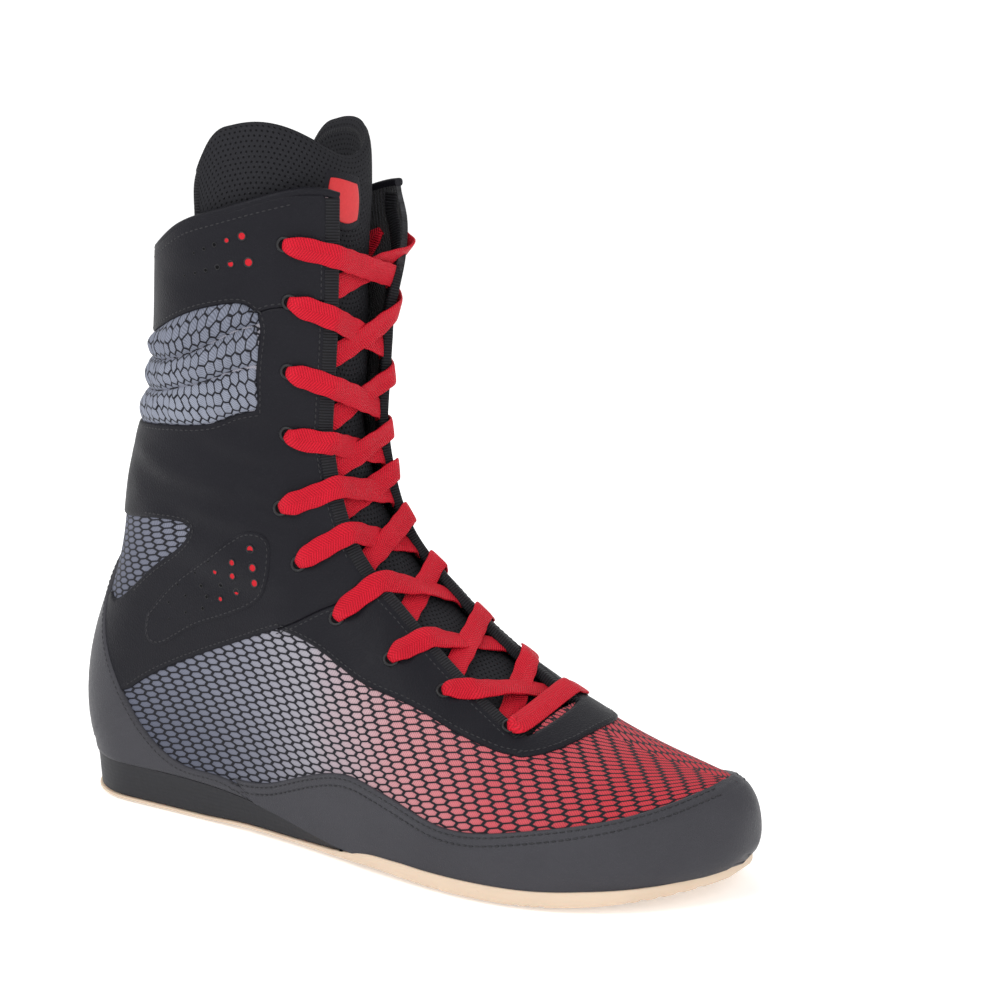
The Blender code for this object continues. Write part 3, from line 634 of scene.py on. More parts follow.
# ---- Black leather: collar, ankle quarter with its front strip, and the lace facing ----
# Thin smooth-grained leather cut to shape, skived at the edges and stitched flat onto the cloth.  The
# same pieces are cut twice, one for each side, and meet in a seam up the back.
def grain_leather(name, colour, grain=0.0011, roughness=0.48, wrinkle=0.5):
    finish = Finish(name, Specular_IOR_Level=0.12)
    where = finish.place()
    pores = finish.node("ShaderNodeTexVoronoi", {"feature": "DISTANCE_TO_EDGE"},
                        {"Vector": where, "Scale": 1.0 / grain})
    creased = finish.noise(where, 85.0, 5.0, 0.6)
    broad = finish.noise(where, 22.0, 2.0)
    lighter = tuple(c * 1.55 + 0.004 for c in colour)
    base = finish.mix(broad * 0.7 + creased * 0.3, colour, lighter)
    height = pores.step(0.0, 0.35) * 0.28 + creased * wrinkle + broad * 0.25
    return finish.wear(base, creased * 0.22 + (roughness - 0.1), height, 0.0006, 0.42)


black_leather = grain_leather("black_leather_grain", (0.0060, 0.0058, 0.0085), roughness=0.48)
charcoal_leather = grain_leather("charcoal_leather_grain", (0.036, 0.0355, 0.041), 0.0009, 0.42, 0.12)


def shape_at(points, side):
    """A smooth side-view chain as (s, t) samples."""
    fine = smooth_curve(points, max(12, 6 * len(points))) if len(points) > 2 else np.array(points, float)
    if len(points) == 2:
        fine = fine[0] + (fine[1] - fine[0]) * np.linspace(0, 1, 16)[:, None]
    return np.stack(place(fine[:, 0], fine[:, 1], side), 1)


def back_seam(z_from, z_to, side):
    z = np.linspace(z_from, z_to, 60)
    return np.stack([section_of(back_x(z), z), np.full(60, float(side))], 1)


def beside_throat(s_from, s_to, side, inset):
    """Along the lace opening, inset metres back from its edge."""
    s = np.linspace(s_from, s_to, 90)
    return np.stack([s, side * throat_t(s, side, inset)], 1)


def evenly(path, spacing, closed=False):
    """(s, t) samples a set distance apart over the surface."""
    path = np.vstack([path, path[:1]]) if closed else path
    p = surface(path[:, 0], path[:, 1])
    run = np.r_[0, np.cumsum(np.linalg.norm(np.diff(p, axis=0), axis=1))]
    keep = np.r_[True, np.diff(run) > 1e-7]
    run, path = run[keep], path[keep]
    count = max(3, int(run[-1] / spacing) + 1)
    at = np.linspace(0, run[-1], count)[:-1 if closed else None]
    return np.stack([np.interp(at, run, path[:, 0]), np.interp(at, run, path[:, 1])], 1)


def moved(path, distance, closed=False):
    """The path shifted sideways over the surface, to its left where distance is positive."""
    s, t = path[:, 0], path[:, 1]
    e = 1e-3
    p = surface(s, t)
    tangent = np.roll(p, -1, 0) - np.roll(p, 1, 0)
    if not closed:
        tangent[0], tangent[-1] = p[1] - p[0], p[-1] - p[-2]
    tangent /= np.maximum(np.linalg.norm(tangent, axis=1, keepdims=True), 1e-12)
    inward = np.cross(normal_at(s, t), tangent) * distance
    ds, dt = (surface(s + e, t) - p) / e, (surface(s, t * (1 - e)) - p) / (-e * t[:, None])
    a, b, c = (ds * ds).sum(1), (ds * dt).sum(1), (dt * dt).sum(1)
    f, g = (ds * inward).sum(1), (dt * inward).sum(1)
    det = np.maximum(a * c - b * b, 1e-14)
    return np.stack([s + (f * c - g * b) / det, t + (g * a - f * b) / det], 1)


def within(points, loop):
    """Which (s, t) points lie inside a closed loop."""
    x, y = points[:, 0][:, None], points[:, 1][:, None]
    x0, y0 = loop[:, 0], loop[:, 1]
    x1, y1 = np.roll(x0, -1), np.roll(y0, -1)
    crossing = ((y0 > y) != (y1 > y)) & (x < (x1 - x0) * (y - y0) / (y1 - y0 + 1e-15) + x0)
    return crossing.sum(1) % 2 == 1


def gap_to(p, rim):
    best = np.full(len(p), 1.0)
    for start in range(0, len(p), 2000):
        part = p[start:start + 2000]
        best[start:start + 2000] = np.sqrt(((part[:, None] - rim[None]) ** 2).sum(2).min(1))
    return best


grids = {side: np.stack(body_grid(side)[:2], -1).reshape(-1, 2) for side in (-1, 1)}


def leather_piece(name, loops, thickness, finishes, lift=0.0, edge=0.0011, under=-0.0004):
    """Closed flat pieces with soft edges, one for each loop of (s, t), laid over the last."""
    vertices, faces = [], []
    scale = np.array([140.0, 120.0])
    for loop in loops:
        loop = evenly(loop, 0.0014, closed=True)
        area = np.sum(loop[:, 0] * np.roll(loop[:, 1], -1) - np.roll(loop[:, 0], -1) * loop[:, 1])
        at_back = np.abs(np.abs(loop[:, 1]) - 1) < 1e-6
        trial = moved(loop, 0.0004, closed=True)
        sign = 1 if within(trial, loop).mean() > 0.5 else -1
        rim = surface(loop[~at_back, 0], loop[~at_back, 1])
        extra = []
        for inset in (0.00035, 0.0009, 0.0019):
            ring = moved(loop, sign * inset, closed=True)[~at_back]
            ring = ring[within(ring, loop) & (np.abs(ring[:, 1]) < 0.996)]
            extra.append(ring[gap_to(surface(ring[:, 0], ring[:, 1]), rim) > inset * 0.85])
        grid = np.vstack([grids[-1], grids[1]])
        grid = grid[within(grid, loop) & (np.abs(grid[:, 1]) < 0.996)]
        extra.append(grid[gap_to(surface(grid[:, 0], grid[:, 1]), rim) > 0.0027])
        flat = np.vstack([loop] + extra) * scale
        found = delaunay_2d_cdt([Vector(v) for v in flat], [], [list(range(len(loop)))], 1, 1e-6)
        st = np.array([tuple(v) for v in found[0]]) / scale
        st[:, 1] = np.where(np.abs(np.abs(st[:, 1]) - 1) < 1e-5, np.sign(st[:, 1]), st[:, 1])
        depth = gap_to(surface(st[:, 0], st[:, 1]), rim)
        swell = np.sqrt(1 - (1 - np.clip(depth / edge, 0, 1)) ** 2)
        top = surface(st[:, 0], st[:, 1], lift + thickness * (0.3 + 0.7 * swell))
        first, count = len(vertices), len(st)
        vertices += list(top) + list(surface(st[:, 0], st[:, 1], under))
        edges = {}
        for face in found[2]:
            a, b, c = face
            faces.append((first + a, first + b, first + c))
            faces.append((first + count + c, first + count + b, first + count + a))
            for pair in ((a, b), (b, c), (c, a)):
                edges[pair] = True
        for a, b in edges:
            if (b, a) not in edges and not (abs(st[a, 1]) > 0.9999 and abs(st[b, 1]) > 0.9999):
                faces.append((first + b, first + a, first + count + a, first + count + b))
    obj = tidy(link(name, vertices, faces, finishes))
    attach(obj, "root")
    return obj


UNDERLAY = 0.0046            # how far the leather stops short of the flap's own edge
window_top = [(56, 198), (69, 203), (87, 210), (99, 213), (107, 214), (111, 213), (114, 210)]
window_front = [(114, 210), (115, 205), (113, 192), (111, 172)]
window_foot = [(111, 172), (103, 170), (93, 166), (78, 164), (55, 162)]
collar_seam = [(114, 210), (118, 212), (125, 213)]
collar_loops, quarter_loops = [], []
collar_front = [(56, 231.6), (62, 232.6), (80, 241.6), (95, 246.6), (112, 251.5), (126, 255.4),
                (137, 255.9)]
mesh_gap = [(30, 88), (34, 86), (47, 94), (59, 104), (71, 112), (77.5, 118), (79, 122), (75, 124),
            (57, 124), (43, 122), (31, 121)]
strap_foot = [(44, 50), (53, 56), (66, 63), (86, 72), (103, 79), (115, 84), (123, 87)]
strap_end = [(123, 87), (132, 91), (141, 96), (150, 100)]
for side in (-1, 1):
    s_seam = float(section_of(126, 213))
    s_top = float(section_of(136, 254))
    throat_up = beside_throat(s_seam, s_top, side, UNDERLAY)
    brim = shape_at(collar_front, side)
    brim = brim[np.abs(brim[:, 1]) > abs(throat_up[-1, 1]) + 0.008]
    back_top = back_seam(230.5, 195.5, side)
    brim[0] = back_top[0]
    head = shape_at(window_top, side)
    seam = shape_at(collar_seam, side)
    collar_loops.append(np.vstack([throat_up, brim[::-1], back_top, head[1:], seam[1:]]))
    s_low = float(section_of(152, 101))
    throat_down = beside_throat(s_seam - 0.006, s_low, side, UNDERLAY)
    heel = back_seam(70, 86.5, side)
    mesh_edge = shape_at(mesh_gap, side)
    upper_back = back_seam(121, 161, side)
    foot = shape_at(window_foot, side)[::-1]
    front = shape_at(window_front, side)[::-1]
    lower = np.vstack([shape_at([(20, 56), (34, 48), (44, 50)], side), shape_at(strap_foot, side)[1:],
                       shape_at(strap_end, side)[1:]])
    quarter_loops.append(np.vstack([throat_down[::-1], seam[::-1], front[::-1][1:], foot[::-1][1:],
                                    upper_back[::-1], mesh_edge[::-1], heel[::-1], lower]))
collar = leather_piece("collar_leather", collar_loops, 0.0010, [black_leather])
quarter = leather_piece("ankle_quarter_leather", quarter_loops, 0.0009, [black_leather])

# the facing runs from the strap down both sides of the lacing and closes in a rounded tip below it
facing_foot = [(123, 87), (130, 86), (138, 84), (144, 82), (155, 77), (168, 72), (181, 68.5),
               (194, 64), (206, 59), (217, 55), (225, 53), (231, 52)]
facing_tip = np.array([(0.541, -0.389), (0.517, -0.355), (0.493, -0.310), (0.468, -0.235),
                       (0.452, -0.15), (0.446, -0.06), (0.446, 0.06), (0.456, 0.16), (0.482, 0.26),
                       (0.515, 0.335), (0.541, 0.375)])
halves = {}
for side in (-1, 1):
    outside = shape_at([(150, 100), (141, 96), (132, 91), (123, 87)], side)
    along = shape_at(facing_foot, side)
    inside = beside_throat(SLIT_S + 0.03, float(section_of(151, 100)), side, UNDERLAY * 0.8)
    halves[side] = (inside, outside, along)
low = halves[-1][0][0], halves[1][0][0]
slit = np.stack([np.full(9, SLIT_S - 0.018) + 0.02 * np.abs(np.linspace(-1, 1, 9)) ** 2,
                 low[1][1] + (low[0][1] - low[1][1]) * np.linspace(0.1, 0.9, 9)], 1)
keep_out = [h[2][:-3] for h in (halves[-1], halves[1])]
facing_loop = np.vstack([halves[-1][0], halves[-1][1], keep_out[0], facing_tip, keep_out[1][::-1],
                         halves[1][1][::-1], halves[1][0][::-1], slit])
facing = leather_piece("lace_facing_leather", [facing_loop], 0.0010, [black_leather], lift=0.0001)
plate_shape = [(55, 84), (71, 100), (87, 111), (101, 121), (109, 124), (116, 122), (118, 115), (118, 107),
               (114, 98), (103, 91), (91, 86), (77, 80), (60, 71), (54, 74), (55, 84)]
plates = [shape_at(plate_shape, side)[:-1] for side in (-1, 1)]
plate = leather_piece("vented_plate_leather", plates, 0.0004, [black_leather], lift=0.0009, edge=0.0008)

# ---- Heel counter and toe rand: moulded charcoal leather round the foot's lower edge ----
# Thicker smooth leather, lasted under at the sole and rolled at its top edge.
RAND_EDGE = [(99, 21.6), (116, 23), (136, 30), (160, 36.5), (174, 35), (188, 31.5), (204, 27), (220, 26),
             (240, 29), (262, 32.5), (281, 37), (294, 42), (300, 44.6)]
COUNTER_EDGE = [(112, 13.2), (108, 17), (92, 21), (72, 22), (58, 28), (47, 38), (38, 52), (29, 74),
                (24, 98), (23, 104)]
counter_loops = []
for side in (-1, 1):
    edge = shape_at(COUNTER_EDGE, side)
    edge[-1, 1] = side
    foot_x = np.linspace(9, 111, 40)
    foot = np.stack([section_of(foot_x, feather_z(foot_x)), np.full(40, side * 0.9985)], 1)
    counter_loops.append(np.vstack([edge, back_seam(103, 17.4, side), foot]))
counter = leather_piece("heel_counter_cover", counter_loops, 0.0015, [charcoal_leather], edge=0.0016)
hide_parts("heel_counter")


def rand_rows(side, count=190, columns=26):
    """The rand as rows of (s, t), from the toe's tip back to its slanted end at the counter."""
    line = smooth_curve(RAND_EDGE, 300)[::-1]
    s_line, t_line = place(line[:, 0], line[:, 1], side)
    over = np.where(line[:, 1] > ridge_at(s_line)[..., 1] - 0.3, 0.0, np.abs(t_line))
    order = np.argsort(s_line)
    share = np.linspace(0, 1, count + 1)[1:] ** 1.25
    top = s_line.max()
    s = share * top
    t_top = np.interp(s, s_line[order], over[order])
    t_top = np.where(s < s_line.min(), 0.0, t_top)
    across = np.r_[0, 0.006, 0.02, 0.045, np.linspace(0, 1, columns)[2:]]
    end_t = np.where(s < 0.0395, 1.0, 0.998)
    t = t_top[:, None] + (end_t - t_top)[:, None] * across[None, :]
    slant = 1 - 0.1764 * across
    s = np.where(s[:, None] > 1, 1 + (s[:, None] - 1) * slant[None, :], s[:, None])
    return s, side * t


vertices, faces = [], []
for side in (-1, 1):
    s, t = rand_rows(side)
    p = surface(s, t)
    rows, columns = s.shape
    rim = np.vstack([p[:, 0][np.abs(t[:, 0]) > 1e-6], p[-1]])
    depth = gap_to(p.reshape(-1, 3), rim).reshape(rows, columns)
    groove = (np.exp(-((depth - 0.0016) / 0.0006) ** 2) + np.exp(-((depth - 0.0044) / 0.0006) ** 2)) * 0.00030
    swell = np.sqrt(1 - (1 - np.clip(depth / 0.0016, 0, 1)) ** 2)
    height = 0.0015 * (0.25 + 0.75 * swell) - groove
    for cover in (height, np.full_like(height, -0.0004)):
        first = len(vertices)
        q = surface(s, t, cover)
        q[:, 0, 1] = np.where(np.abs(t[:, 0]) < 1e-6, graded(last_point(s[:, 0], 0.0))[:, 1], q[:, 0, 1])
        vertices += list(q.reshape(-1, 3))
        faces += quads(first, rows, columns)
        pole = len(vertices)
        vertices.append(graded(last_point(0.0, 0.0)) + np.array([cover.max(), 0, 0]))
        faces += [(pole, first + j + 1, first + j) for j in range(columns - 1)]
    outer, inner = first - rows * columns - 1, first
    seams = [(i * columns + columns - 1, (i + 1) * columns + columns - 1) for i in range(rows - 1)]
    seams += [(i * columns, (i + 1) * columns) for i in range(rows - 1) if abs(t[i + 1, 0]) > 1e-6]
    seams += [((rows - 1) * columns + j, (rows - 1) * columns + j + 1) for j in range(columns - 1)]
    faces += [(outer + a, outer + b, inner + b, inner + a) for a, b in seams]
rand = tidy(link("toe_rand_cover", vertices, faces, [charcoal_leather]), 2e-5)
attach(rand, "root")
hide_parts("toe_rand")

# ---- Sole: pale gum outsole cupped up round the forefoot, and a black rubber heel wedge ----
# A thin moulded outsole with cross grooves, its edge notched where the grooves run out; the wedge is
# cemented between it and the lasted upper and feathers out at the arch.
GAP = 0.0003


def rise_of(metres):
    return metres / GRADE[2]


def floor_line(x):
    arch = rise_of(0.0010) * ease((x - 78) / 30) * ease((205 - x) / 30)
    spring = 6.6 * np.clip((x - 240) / 61, 0, 1) ** 1.8
    return arch + spring + 0.8 * np.clip((14 - x) / 10, 0, 1) ** 2


def outsole_top(x):
    thick = 0.0021 + 0.0025 * ease((x - 120) / 80)
    return np.minimum(floor_line(x) + rise_of(thick), feather_z(x) - rise_of(GAP))


def plan_loop(x_end, count):
    """The sole edge's plan outline, heel to front on the outer side and back on the inner side."""
    u = 0.5 - 0.5 * np.cos(np.linspace(0.0, 1.0, count) * math.pi)
    x = 8.0 + (x_end - 8.0) * u
    deep = np.full_like(x, 90.0)
    sides = []
    for side in (-1, 1):
        y = centre_y(x) + side * half_width(x, feather_z(x) + 1.0, deep, deep, side)
        sides.append(np.stack([x, y], 1))
    return np.vstack([sides[0], sides[1][-2:0:-1]])


def plan_out(loop):
    """Outward unit directions of a plan outline, in graded metres."""
    flat = loop * GRADE[:2]
    way = np.roll(flat, -1, 0) - np.roll(flat, 1, 0)
    way /= np.maximum(np.linalg.norm(way, axis=1, keepdims=True), 1e-9)
    out = np.stack([way[:, 1], -way[:, 0]], 1)
    middle = flat.mean(0)
    return out if ((flat - middle) * out).sum() > 0 else -out


def stacked(name, loop, layers, finish):
    """A closed rim of layers, each (outward shift, height) per outline point, capped at both ends."""
    out = plan_out(loop)
    rings = []
    for shift, z in layers:
        flat = (loop - np.array([HEEL_REST_X, 0])) * GRADE[:2] + out * np.reshape(shift, (-1, 1))
        rings.append(np.hstack([flat, (np.broadcast_to(z, len(loop)) * GRADE[2])[:, None]]))
    count = len(loop)
    faces = []
    for k in range(len(rings) - 1):
        for i in range(count):
            n = (i + 1) % count
            faces.append((k * count + i, k * count + n, (k + 1) * count + n, (k + 1) * count + i))
    half = count // 2
    for base, flip in ((0, True), ((len(rings) - 1) * count, False)):
        for i in range(half):
            a, b = base + i, base + i + 1
            c, d = base + (count - i - 1) % count, base + (count - i) % count
            quad = (a, b, c, d) if i else (a, b, c)
            if i == half - 1:
                quad = (a, b, d)
            faces.append(tuple(reversed(quad)) if flip else quad)
    obj = tidy(link(name, np.vstack(rings), faces, [finish]), 2e-6, 42)
    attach(obj, "root")
    return obj


gum = Finish("gum_rubber", Specular_IOR_Level=0.35, Subsurface_Weight=0.08,
             Subsurface_Scale=0.004)
gum_at = gum.place()
gum_specks = gum.noise(gum_at, 320.0, 4.0)
gum_cloud = gum.noise(gum_at, 40.0, 2.0)
gum_tone = gum.mix(gum_cloud, (0.60, 0.46, 0.34), (0.70, 0.56, 0.43))
gum_dirt = gum_specks.step(0.62, 0.78) * 0.25
gum_rubber = gum.wear(gum.mix(gum_dirt, gum_tone, (0.42, 0.30, 0.21)), gum_specks * 0.2 + 0.45,
                      gum_specks, 0.0004, 0.35)
loop = plan_loop(300.5, 420)
edge_x = loop[:, 0]
cup_in = ease((edge_x - 150) / 30)
cup = cup_in * 3.0
low, high = floor_line(edge_x), outsole_top(edge_x)
notch_zone = np.zeros_like(edge_x)
for start, end in ((96, 122), (192, 212), (238, 252), (276, 300)):
    notch_zone = np.maximum(notch_zone, ease((edge_x - start) / 3) * ease((end - edge_x) / 3))
notch = notch_zone * (np.mod(edge_x, 4.6) < 2.1) * 0.9
tread = np.zeros_like(edge_x)
for centre in list(range(18, 62, 8)) + list(range(184, 282, 6)):
    tread = np.maximum(tread, 0.95 * (np.abs(edge_x - centre) < 1.1))
bulge = 0.0008 + 0.0016 * ease((edge_x - 150) / 30)
layers = [(-0.0085, low + tread), (-0.0075, low + tread), (-0.0068, low), (-0.0045, low),
          (-0.0028 + bulge * 0.2, low + 0.35 * cup_in + notch * 0.4),
          (-0.0014 + bulge * 0.6, low + 0.5 + 0.6 * cup_in + notch * 0.6),
          (bulge - 0.0006, low + 1.0 + 1.1 * cup_in + notch * 0.4),
          (bulge, np.minimum(low + 1.5 + 1.9 * cup_in, high + cup - 0.9)),
          (bulge, high + cup - 0.55), (bulge - 0.00035, high + cup - 0.1), (bulge - 0.0011, high + cup),
          (-0.0004, high + cup * 0.9), (-0.0006, high), (-0.0060, high)]
outsole = stacked("gum_outsole", loop, layers, gum_rubber)
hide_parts("outsole")

wedge = Finish("wedge_rubber", Specular_IOR_Level=0.3)
wedge_at = wedge.place()
wedge_speck = wedge.noise(wedge_at, 500.0, 4.0)
_, _, wedge_z = wedge.parts(wedge_at)
wedge_line = (wedge_z / 0.0016).math("FRACT").math("PINGPONG", 0.5)
wedge_rubber = wedge.wear(wedge.mix(wedge_speck, (0.009, 0.009, 0.011), (0.021, 0.021, 0.025)),
                          wedge_speck * 0.15 + 0.5, wedge_speck + wedge_line * 0.5, 0.0003, 0.5)
loop = plan_loop(166.0, 240)
edge_x = loop[:, 0]
low, high = outsole_top(edge_x) + rise_of(GAP), feather_z(edge_x) + 0.9
high = np.maximum(high, low + 0.4)
layers = [(-0.008, low), (-0.0006, low), (-0.0001, low + 0.25), (0.0002, low * 0.7 + high * 0.3),
          (0.0006, low * 0.25 + high * 0.75), (0.0010, high - 0.5), (0.0005, high - 0.05),
          (-0.008, high - 0.9)]
wedge_piece = stacked("heel_wedge", loop, layers, wedge_rubber)
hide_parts("midsole_wedge")

# the insole board keeps its frame solid and is covered in brushed black cloth
felt = Finish("insole_cloth", Sheen_Weight=0.3)
felt_at = felt.place()
felt_hair = felt.noise(felt_at, 1400.0, 4.0, 0.7)
insole_cloth = felt.wear(felt.mix(felt_hair, (0.014, 0.014, 0.017), (0.045, 0.045, 0.050)), 0.92,
                         felt_hair, 0.0005, 0.6)
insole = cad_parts["insole"]
for slot in insole.material_slots:
    slot.material = insole_cloth

# ---- Padded rolls: three foam-filled cloth rolls round the back of the ankle ----
# Each is its own stuffed tube between two stitched channels, in the same netted cloth, and pulls in
# to the leather window's front edge on both sides.
roll_cloth = gradient_cloth("roll_cloth", window=True)
ROLL_LINES = [[(36, 160), (55, 162), (78, 164), (93, 166), (103, 170), (113, 172)],
              [(42, 174.5), (63, 176), (81, 180), (92, 183), (102, 187), (114.5, 190)],
              [(46, 188), (68, 189), (86, 194), (97, 199), (105, 203), (116, 206.5)],
              [(47, 198), (56, 198.5), (69, 203.5), (87, 210.5), (99, 213.5), (107, 214.5), (114, 211)]]


def seam_height(line, x):
    points = smooth_curve(ROLL_LINES[line], 90)
    return np.interp(x, points[:, 0], points[:, 1])


for number in range(3):
    across = np.linspace(0, 1, 26)
    along = np.linspace(-1, 1, 181)
    front = [112.5, 114.0, 115.0][number]
    vertices, faces, uvs = [], [], []
    for cover in (1, 0):
        for k, a in enumerate(along):
            side = -1 if a < 0 else 1
            reach = abs(a) ** 0.8
            guess = seam_height(number, 60) * (1 - across) + seam_height(number + 1, 60) * across
            x = back_x(guess) + 0.02 + (front - back_x(guess)) * reach
            z = seam_height(number, x) * (1 - across) + seam_height(number + 1, x) * across
            s, t = place(x, z, side)
            if a == 0:
                t = np.full_like(t, float(side))
            pinch = rounding((1 - abs(a)) / 0.10, 2.4)
            puff = np.sin(math.pi * across) ** 0.62
            wobble = 1 + 0.10 * np.sin(a * 23 + number * 2.1) + 0.06 * np.sin(a * 41 + number)
            pull = 0.00035 * np.sin(a * 95 + across * 5) * np.exp(-((across - 0.5) / 0.42) ** 8)
            height = (0.0030 * puff * wobble + pull * puff) * pinch
            p = surface(s, t, height * cover - 0.0005)
            run = cloth_uv(s, t, side)[:, 0]
            if k == 90:
                seam_run = run
            if k > 90:
                run = 2 * seam_run - run
            vertices += list(p)
            lift_v = np.cumsum(np.r_[0, np.linalg.norm(np.diff(p, axis=0), axis=1)])
            uvs += list(np.stack([run, lift_v], 1))
    rows, columns = len(along), len(across)
    back = rows * columns
    faces += quads(0, rows, columns) + quads(back, rows, columns)
    faces += [(a, b, back + b, back + a) for a, b in grid_rim(rows, columns)]
    roll = tidy(link(f"padded_roll_{number + 1}", vertices, faces, [roll_cloth], uvs), 2e-6, 80)
    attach(roll, "root")

# ---- Bindings: the rolled collar edge and the throat's ribbed edge ----
# A narrow strip turned over each raw edge and stitched down.
def swept(points, normals, half_width, half_thick, square=2.0, around=12):
    """A capped strip along points; its section is a squared-off oval.  Returns vertices, faces, uvs."""
    points, normals = np.array(points), np.array(normals)
    along = np.gradient(points, axis=0)
    along /= np.maximum(np.linalg.norm(along, axis=1, keepdims=True), 1e-12)
    across = np.cross(along, normals)
    across /= np.maximum(np.linalg.norm(across, axis=1, keepdims=True), 1e-12)
    up = np.cross(across, along)
    angle = np.linspace(0, 2 * math.pi, around, endpoint=False) + math.pi / around
    c = np.sign(np.cos(angle)) * np.abs(np.cos(angle)) ** (2 / square)
    d = np.sign(np.sin(angle)) * np.abs(np.sin(angle)) ** (2 / square)
    wide = np.broadcast_to(half_width, len(points))[:, None, None]
    thick = np.broadcast_to(half_thick, len(points))[:, None, None]
    ring = (points[:, None] + across[:, None] * wide * c[None, :, None]
            + up[:, None] * thick * d[None, :, None])
    run = np.r_[0, np.cumsum(np.linalg.norm(np.diff(points, axis=0), axis=1))]
    uvs = np.stack([np.repeat(run[:, None], around, 1), wide[:, :, 0] * c[None, :]], -1)
    faces = []
    for i in range(len(points) - 1):
        for j in range(around):
            n = (j + 1) % around
            faces.append((i * around + j, i * around + n, (i + 1) * around + n, (i + 1) * around + j))
    last = (len(points) - 1) * around
    faces += [tuple(range(around))[::-1], tuple(last + j for j in range(around))]
    return ring.reshape(-1, 3), faces, uvs.reshape(-1, 2)


def strip(name, runs, finish):
    """One object from several swept runs."""
    vertices, faces, uvs = [], [], []
    for run_vertices, run_faces, run_uvs in runs:
        first = len(vertices)
        vertices += list(run_vertices)
        uvs += list(run_uvs)
        faces += [tuple(first + k for k in f) for f in run_faces]
    obj = tidy(link(name, vertices, faces, [finish], uvs), 1e-7, 60)
    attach(obj, "root")
    return obj


collar_x = np.linspace(0, 1, 150)
brims = []
for side in (-1, 1):
    edge = throat_t(TOP_S, side)[0]
    t = side * (edge + (1 - edge) * collar_x)
    s = lift_to_collar(np.full_like(t, TOP_S), t)
    brims.append((s, t))
s = np.r_[brims[0][0], brims[1][0][::-1][1:]]
t = np.r_[brims[0][1], brims[1][1][::-1][1:]]
p, n = surface(s, t, -WALL / 2 + 0.0002), normal_at(s, t)
brim = strip("collar_binding", [swept(p, n, 0.0016, 0.0021, 2.6, 14)], black_leather)

edge_rib = Finish("ribbed_edge_tape", Specular_IOR_Level=0.2)
rib_u, rib_v, _ = edge_rib.parts(edge_rib.place("UV"))
rib_wave = (rib_u / 0.0011).math("FRACT").math("PINGPONG", 0.5) * 2.0
ribbed_tape = edge_rib.wear(edge_rib.mix(rib_wave, (0.004, 0.004, 0.005), (0.022, 0.022, 0.026)), 0.7,
                            rib_wave, 0.0004, 0.9)
tapes = []
for side in (-1, 1):
    s = np.linspace(SLIT_S, TOP_S + 0.03, 260)
    near, far = (side * throat_t(s, side, d) for d in (-0.0004, UNDERLAY + 0.0009))
    t = (near + far) / 2
    keep = (s < 2.0) | (s < collar_s(last_point(s, t)[..., 0]) - 0.004)
    s, t, near, far = s[keep], t[keep], near[keep], far[keep]
    half = np.linalg.norm(surface(s, near) - surface(s, far), axis=1) / 2
    p, n = surface(s, t, -WALL / 2 + 0.0001), normal_at(s, t)
    tapes.append(swept(p, n, half, 0.0021, 4.5, 18))
tape = strip("throat_edge_tape", tapes, ribbed_tape)

# ---- Tongue: a padded black mesh band folded round the shin, with a bound edge and a plain patch ----
# Spacer mesh over foam, stitched into the lower end of the throat; its winged top stands over the
# collar.
TONGUE = 0.0042
TONGUE_HALF = [(0.5, .28), (1.3, .33), (1.8, .40), (2.2, .50), (2.5, .57), (2.9, .62)]
TONGUE_SINK = [(0.5, 2.0), (1.0, 3.2), (1.5, 6.5), (2.2, 9.0)]


def tongue_skin(u, v, depth):
    """Points on the tongue, u from -1 to 1 across and v from 0 to 1 up, depth metres inside its face."""
    top = 2.69 + 0.13 * ease(np.abs(u) / 0.75) - 0.10 * np.clip((np.abs(u) - 0.8) / 0.2, 0, 1) ** 2
    s = 0.50 + (top - 0.50) * v + 0.05 * (1 - v) * np.clip((np.abs(u) - 0.6) / 0.4, 0, 1) ** 2
    t = u * np.interp(s, [q for q, _ in TONGUE_HALF], [q for _, q in TONGUE_HALF])
    p = surface(s, t, -(WALL + 0.0010) - depth, 0.0)
    inward = graded(np.insert(end_at(s), 1, 0, -1)) - graded(np.insert(ridge_at(s), 1, 0, -1))
    inward /= np.linalg.norm(inward, axis=-1, keepdims=True)
    sink = np.interp(s, [q for q, _ in TONGUE_SINK], [q for _, q in TONGUE_SINK]) * 0.001
    return p + inward * (sink * (1 - np.clip(np.abs(t) / 0.45, 0, 1) ** 2) ** 2)[..., None]


mesh_finish = Finish("spacer_mesh", Specular_IOR_Level=0.1)
mesh_u, mesh_v, _ = mesh_finish.parts(mesh_finish.place("UV"))
mesh_cell, mesh_in = net_cells(mesh_finish, mesh_u, mesh_v, 0.0021, 0.0018, 0.0, 0.0009)
spacer_mesh = mesh_finish.wear(mesh_finish.mix(mesh_cell, (0.019, 0.019, 0.022), (0.003, 0.003, 0.004)),
                               0.82, 1.0 - mesh_cell, 0.0006, 1.0)
u = np.linspace(-1, 1, 96)[None, :]
v = (1 - (1 - np.linspace(0, 1, 150)) ** 1.08)[:, None]
u, v = np.broadcast_arrays(u, v)
edge_gap = np.minimum(np.minimum(1 - np.abs(u), (1 - v) * 4.5), v * 6)
plump = rounding(np.clip(edge_gap / 0.12, 0, 1), 2.2)
soft = 0.0005 * np.sin(v * 31 + 0.8 * np.sin(u * 2.3)) * plump * np.exp(-((np.abs(u) - 0.3) / 0.5) ** 2)
face = tongue_skin(u, v, TONGUE / 2 * (1 - plump) + 0.0001 + soft)
back = tongue_skin(u, v, TONGUE / 2 * (1 + plump) - 0.0001 + soft)
rows, columns = u.shape
run_v = np.linalg.norm(np.diff(face[:, columns // 2], axis=0), axis=1)
run_v = np.r_[0, np.cumsum(run_v)][:, None] + np.zeros_like(u)
step_u = np.linalg.norm(np.diff(face, axis=1), axis=2)
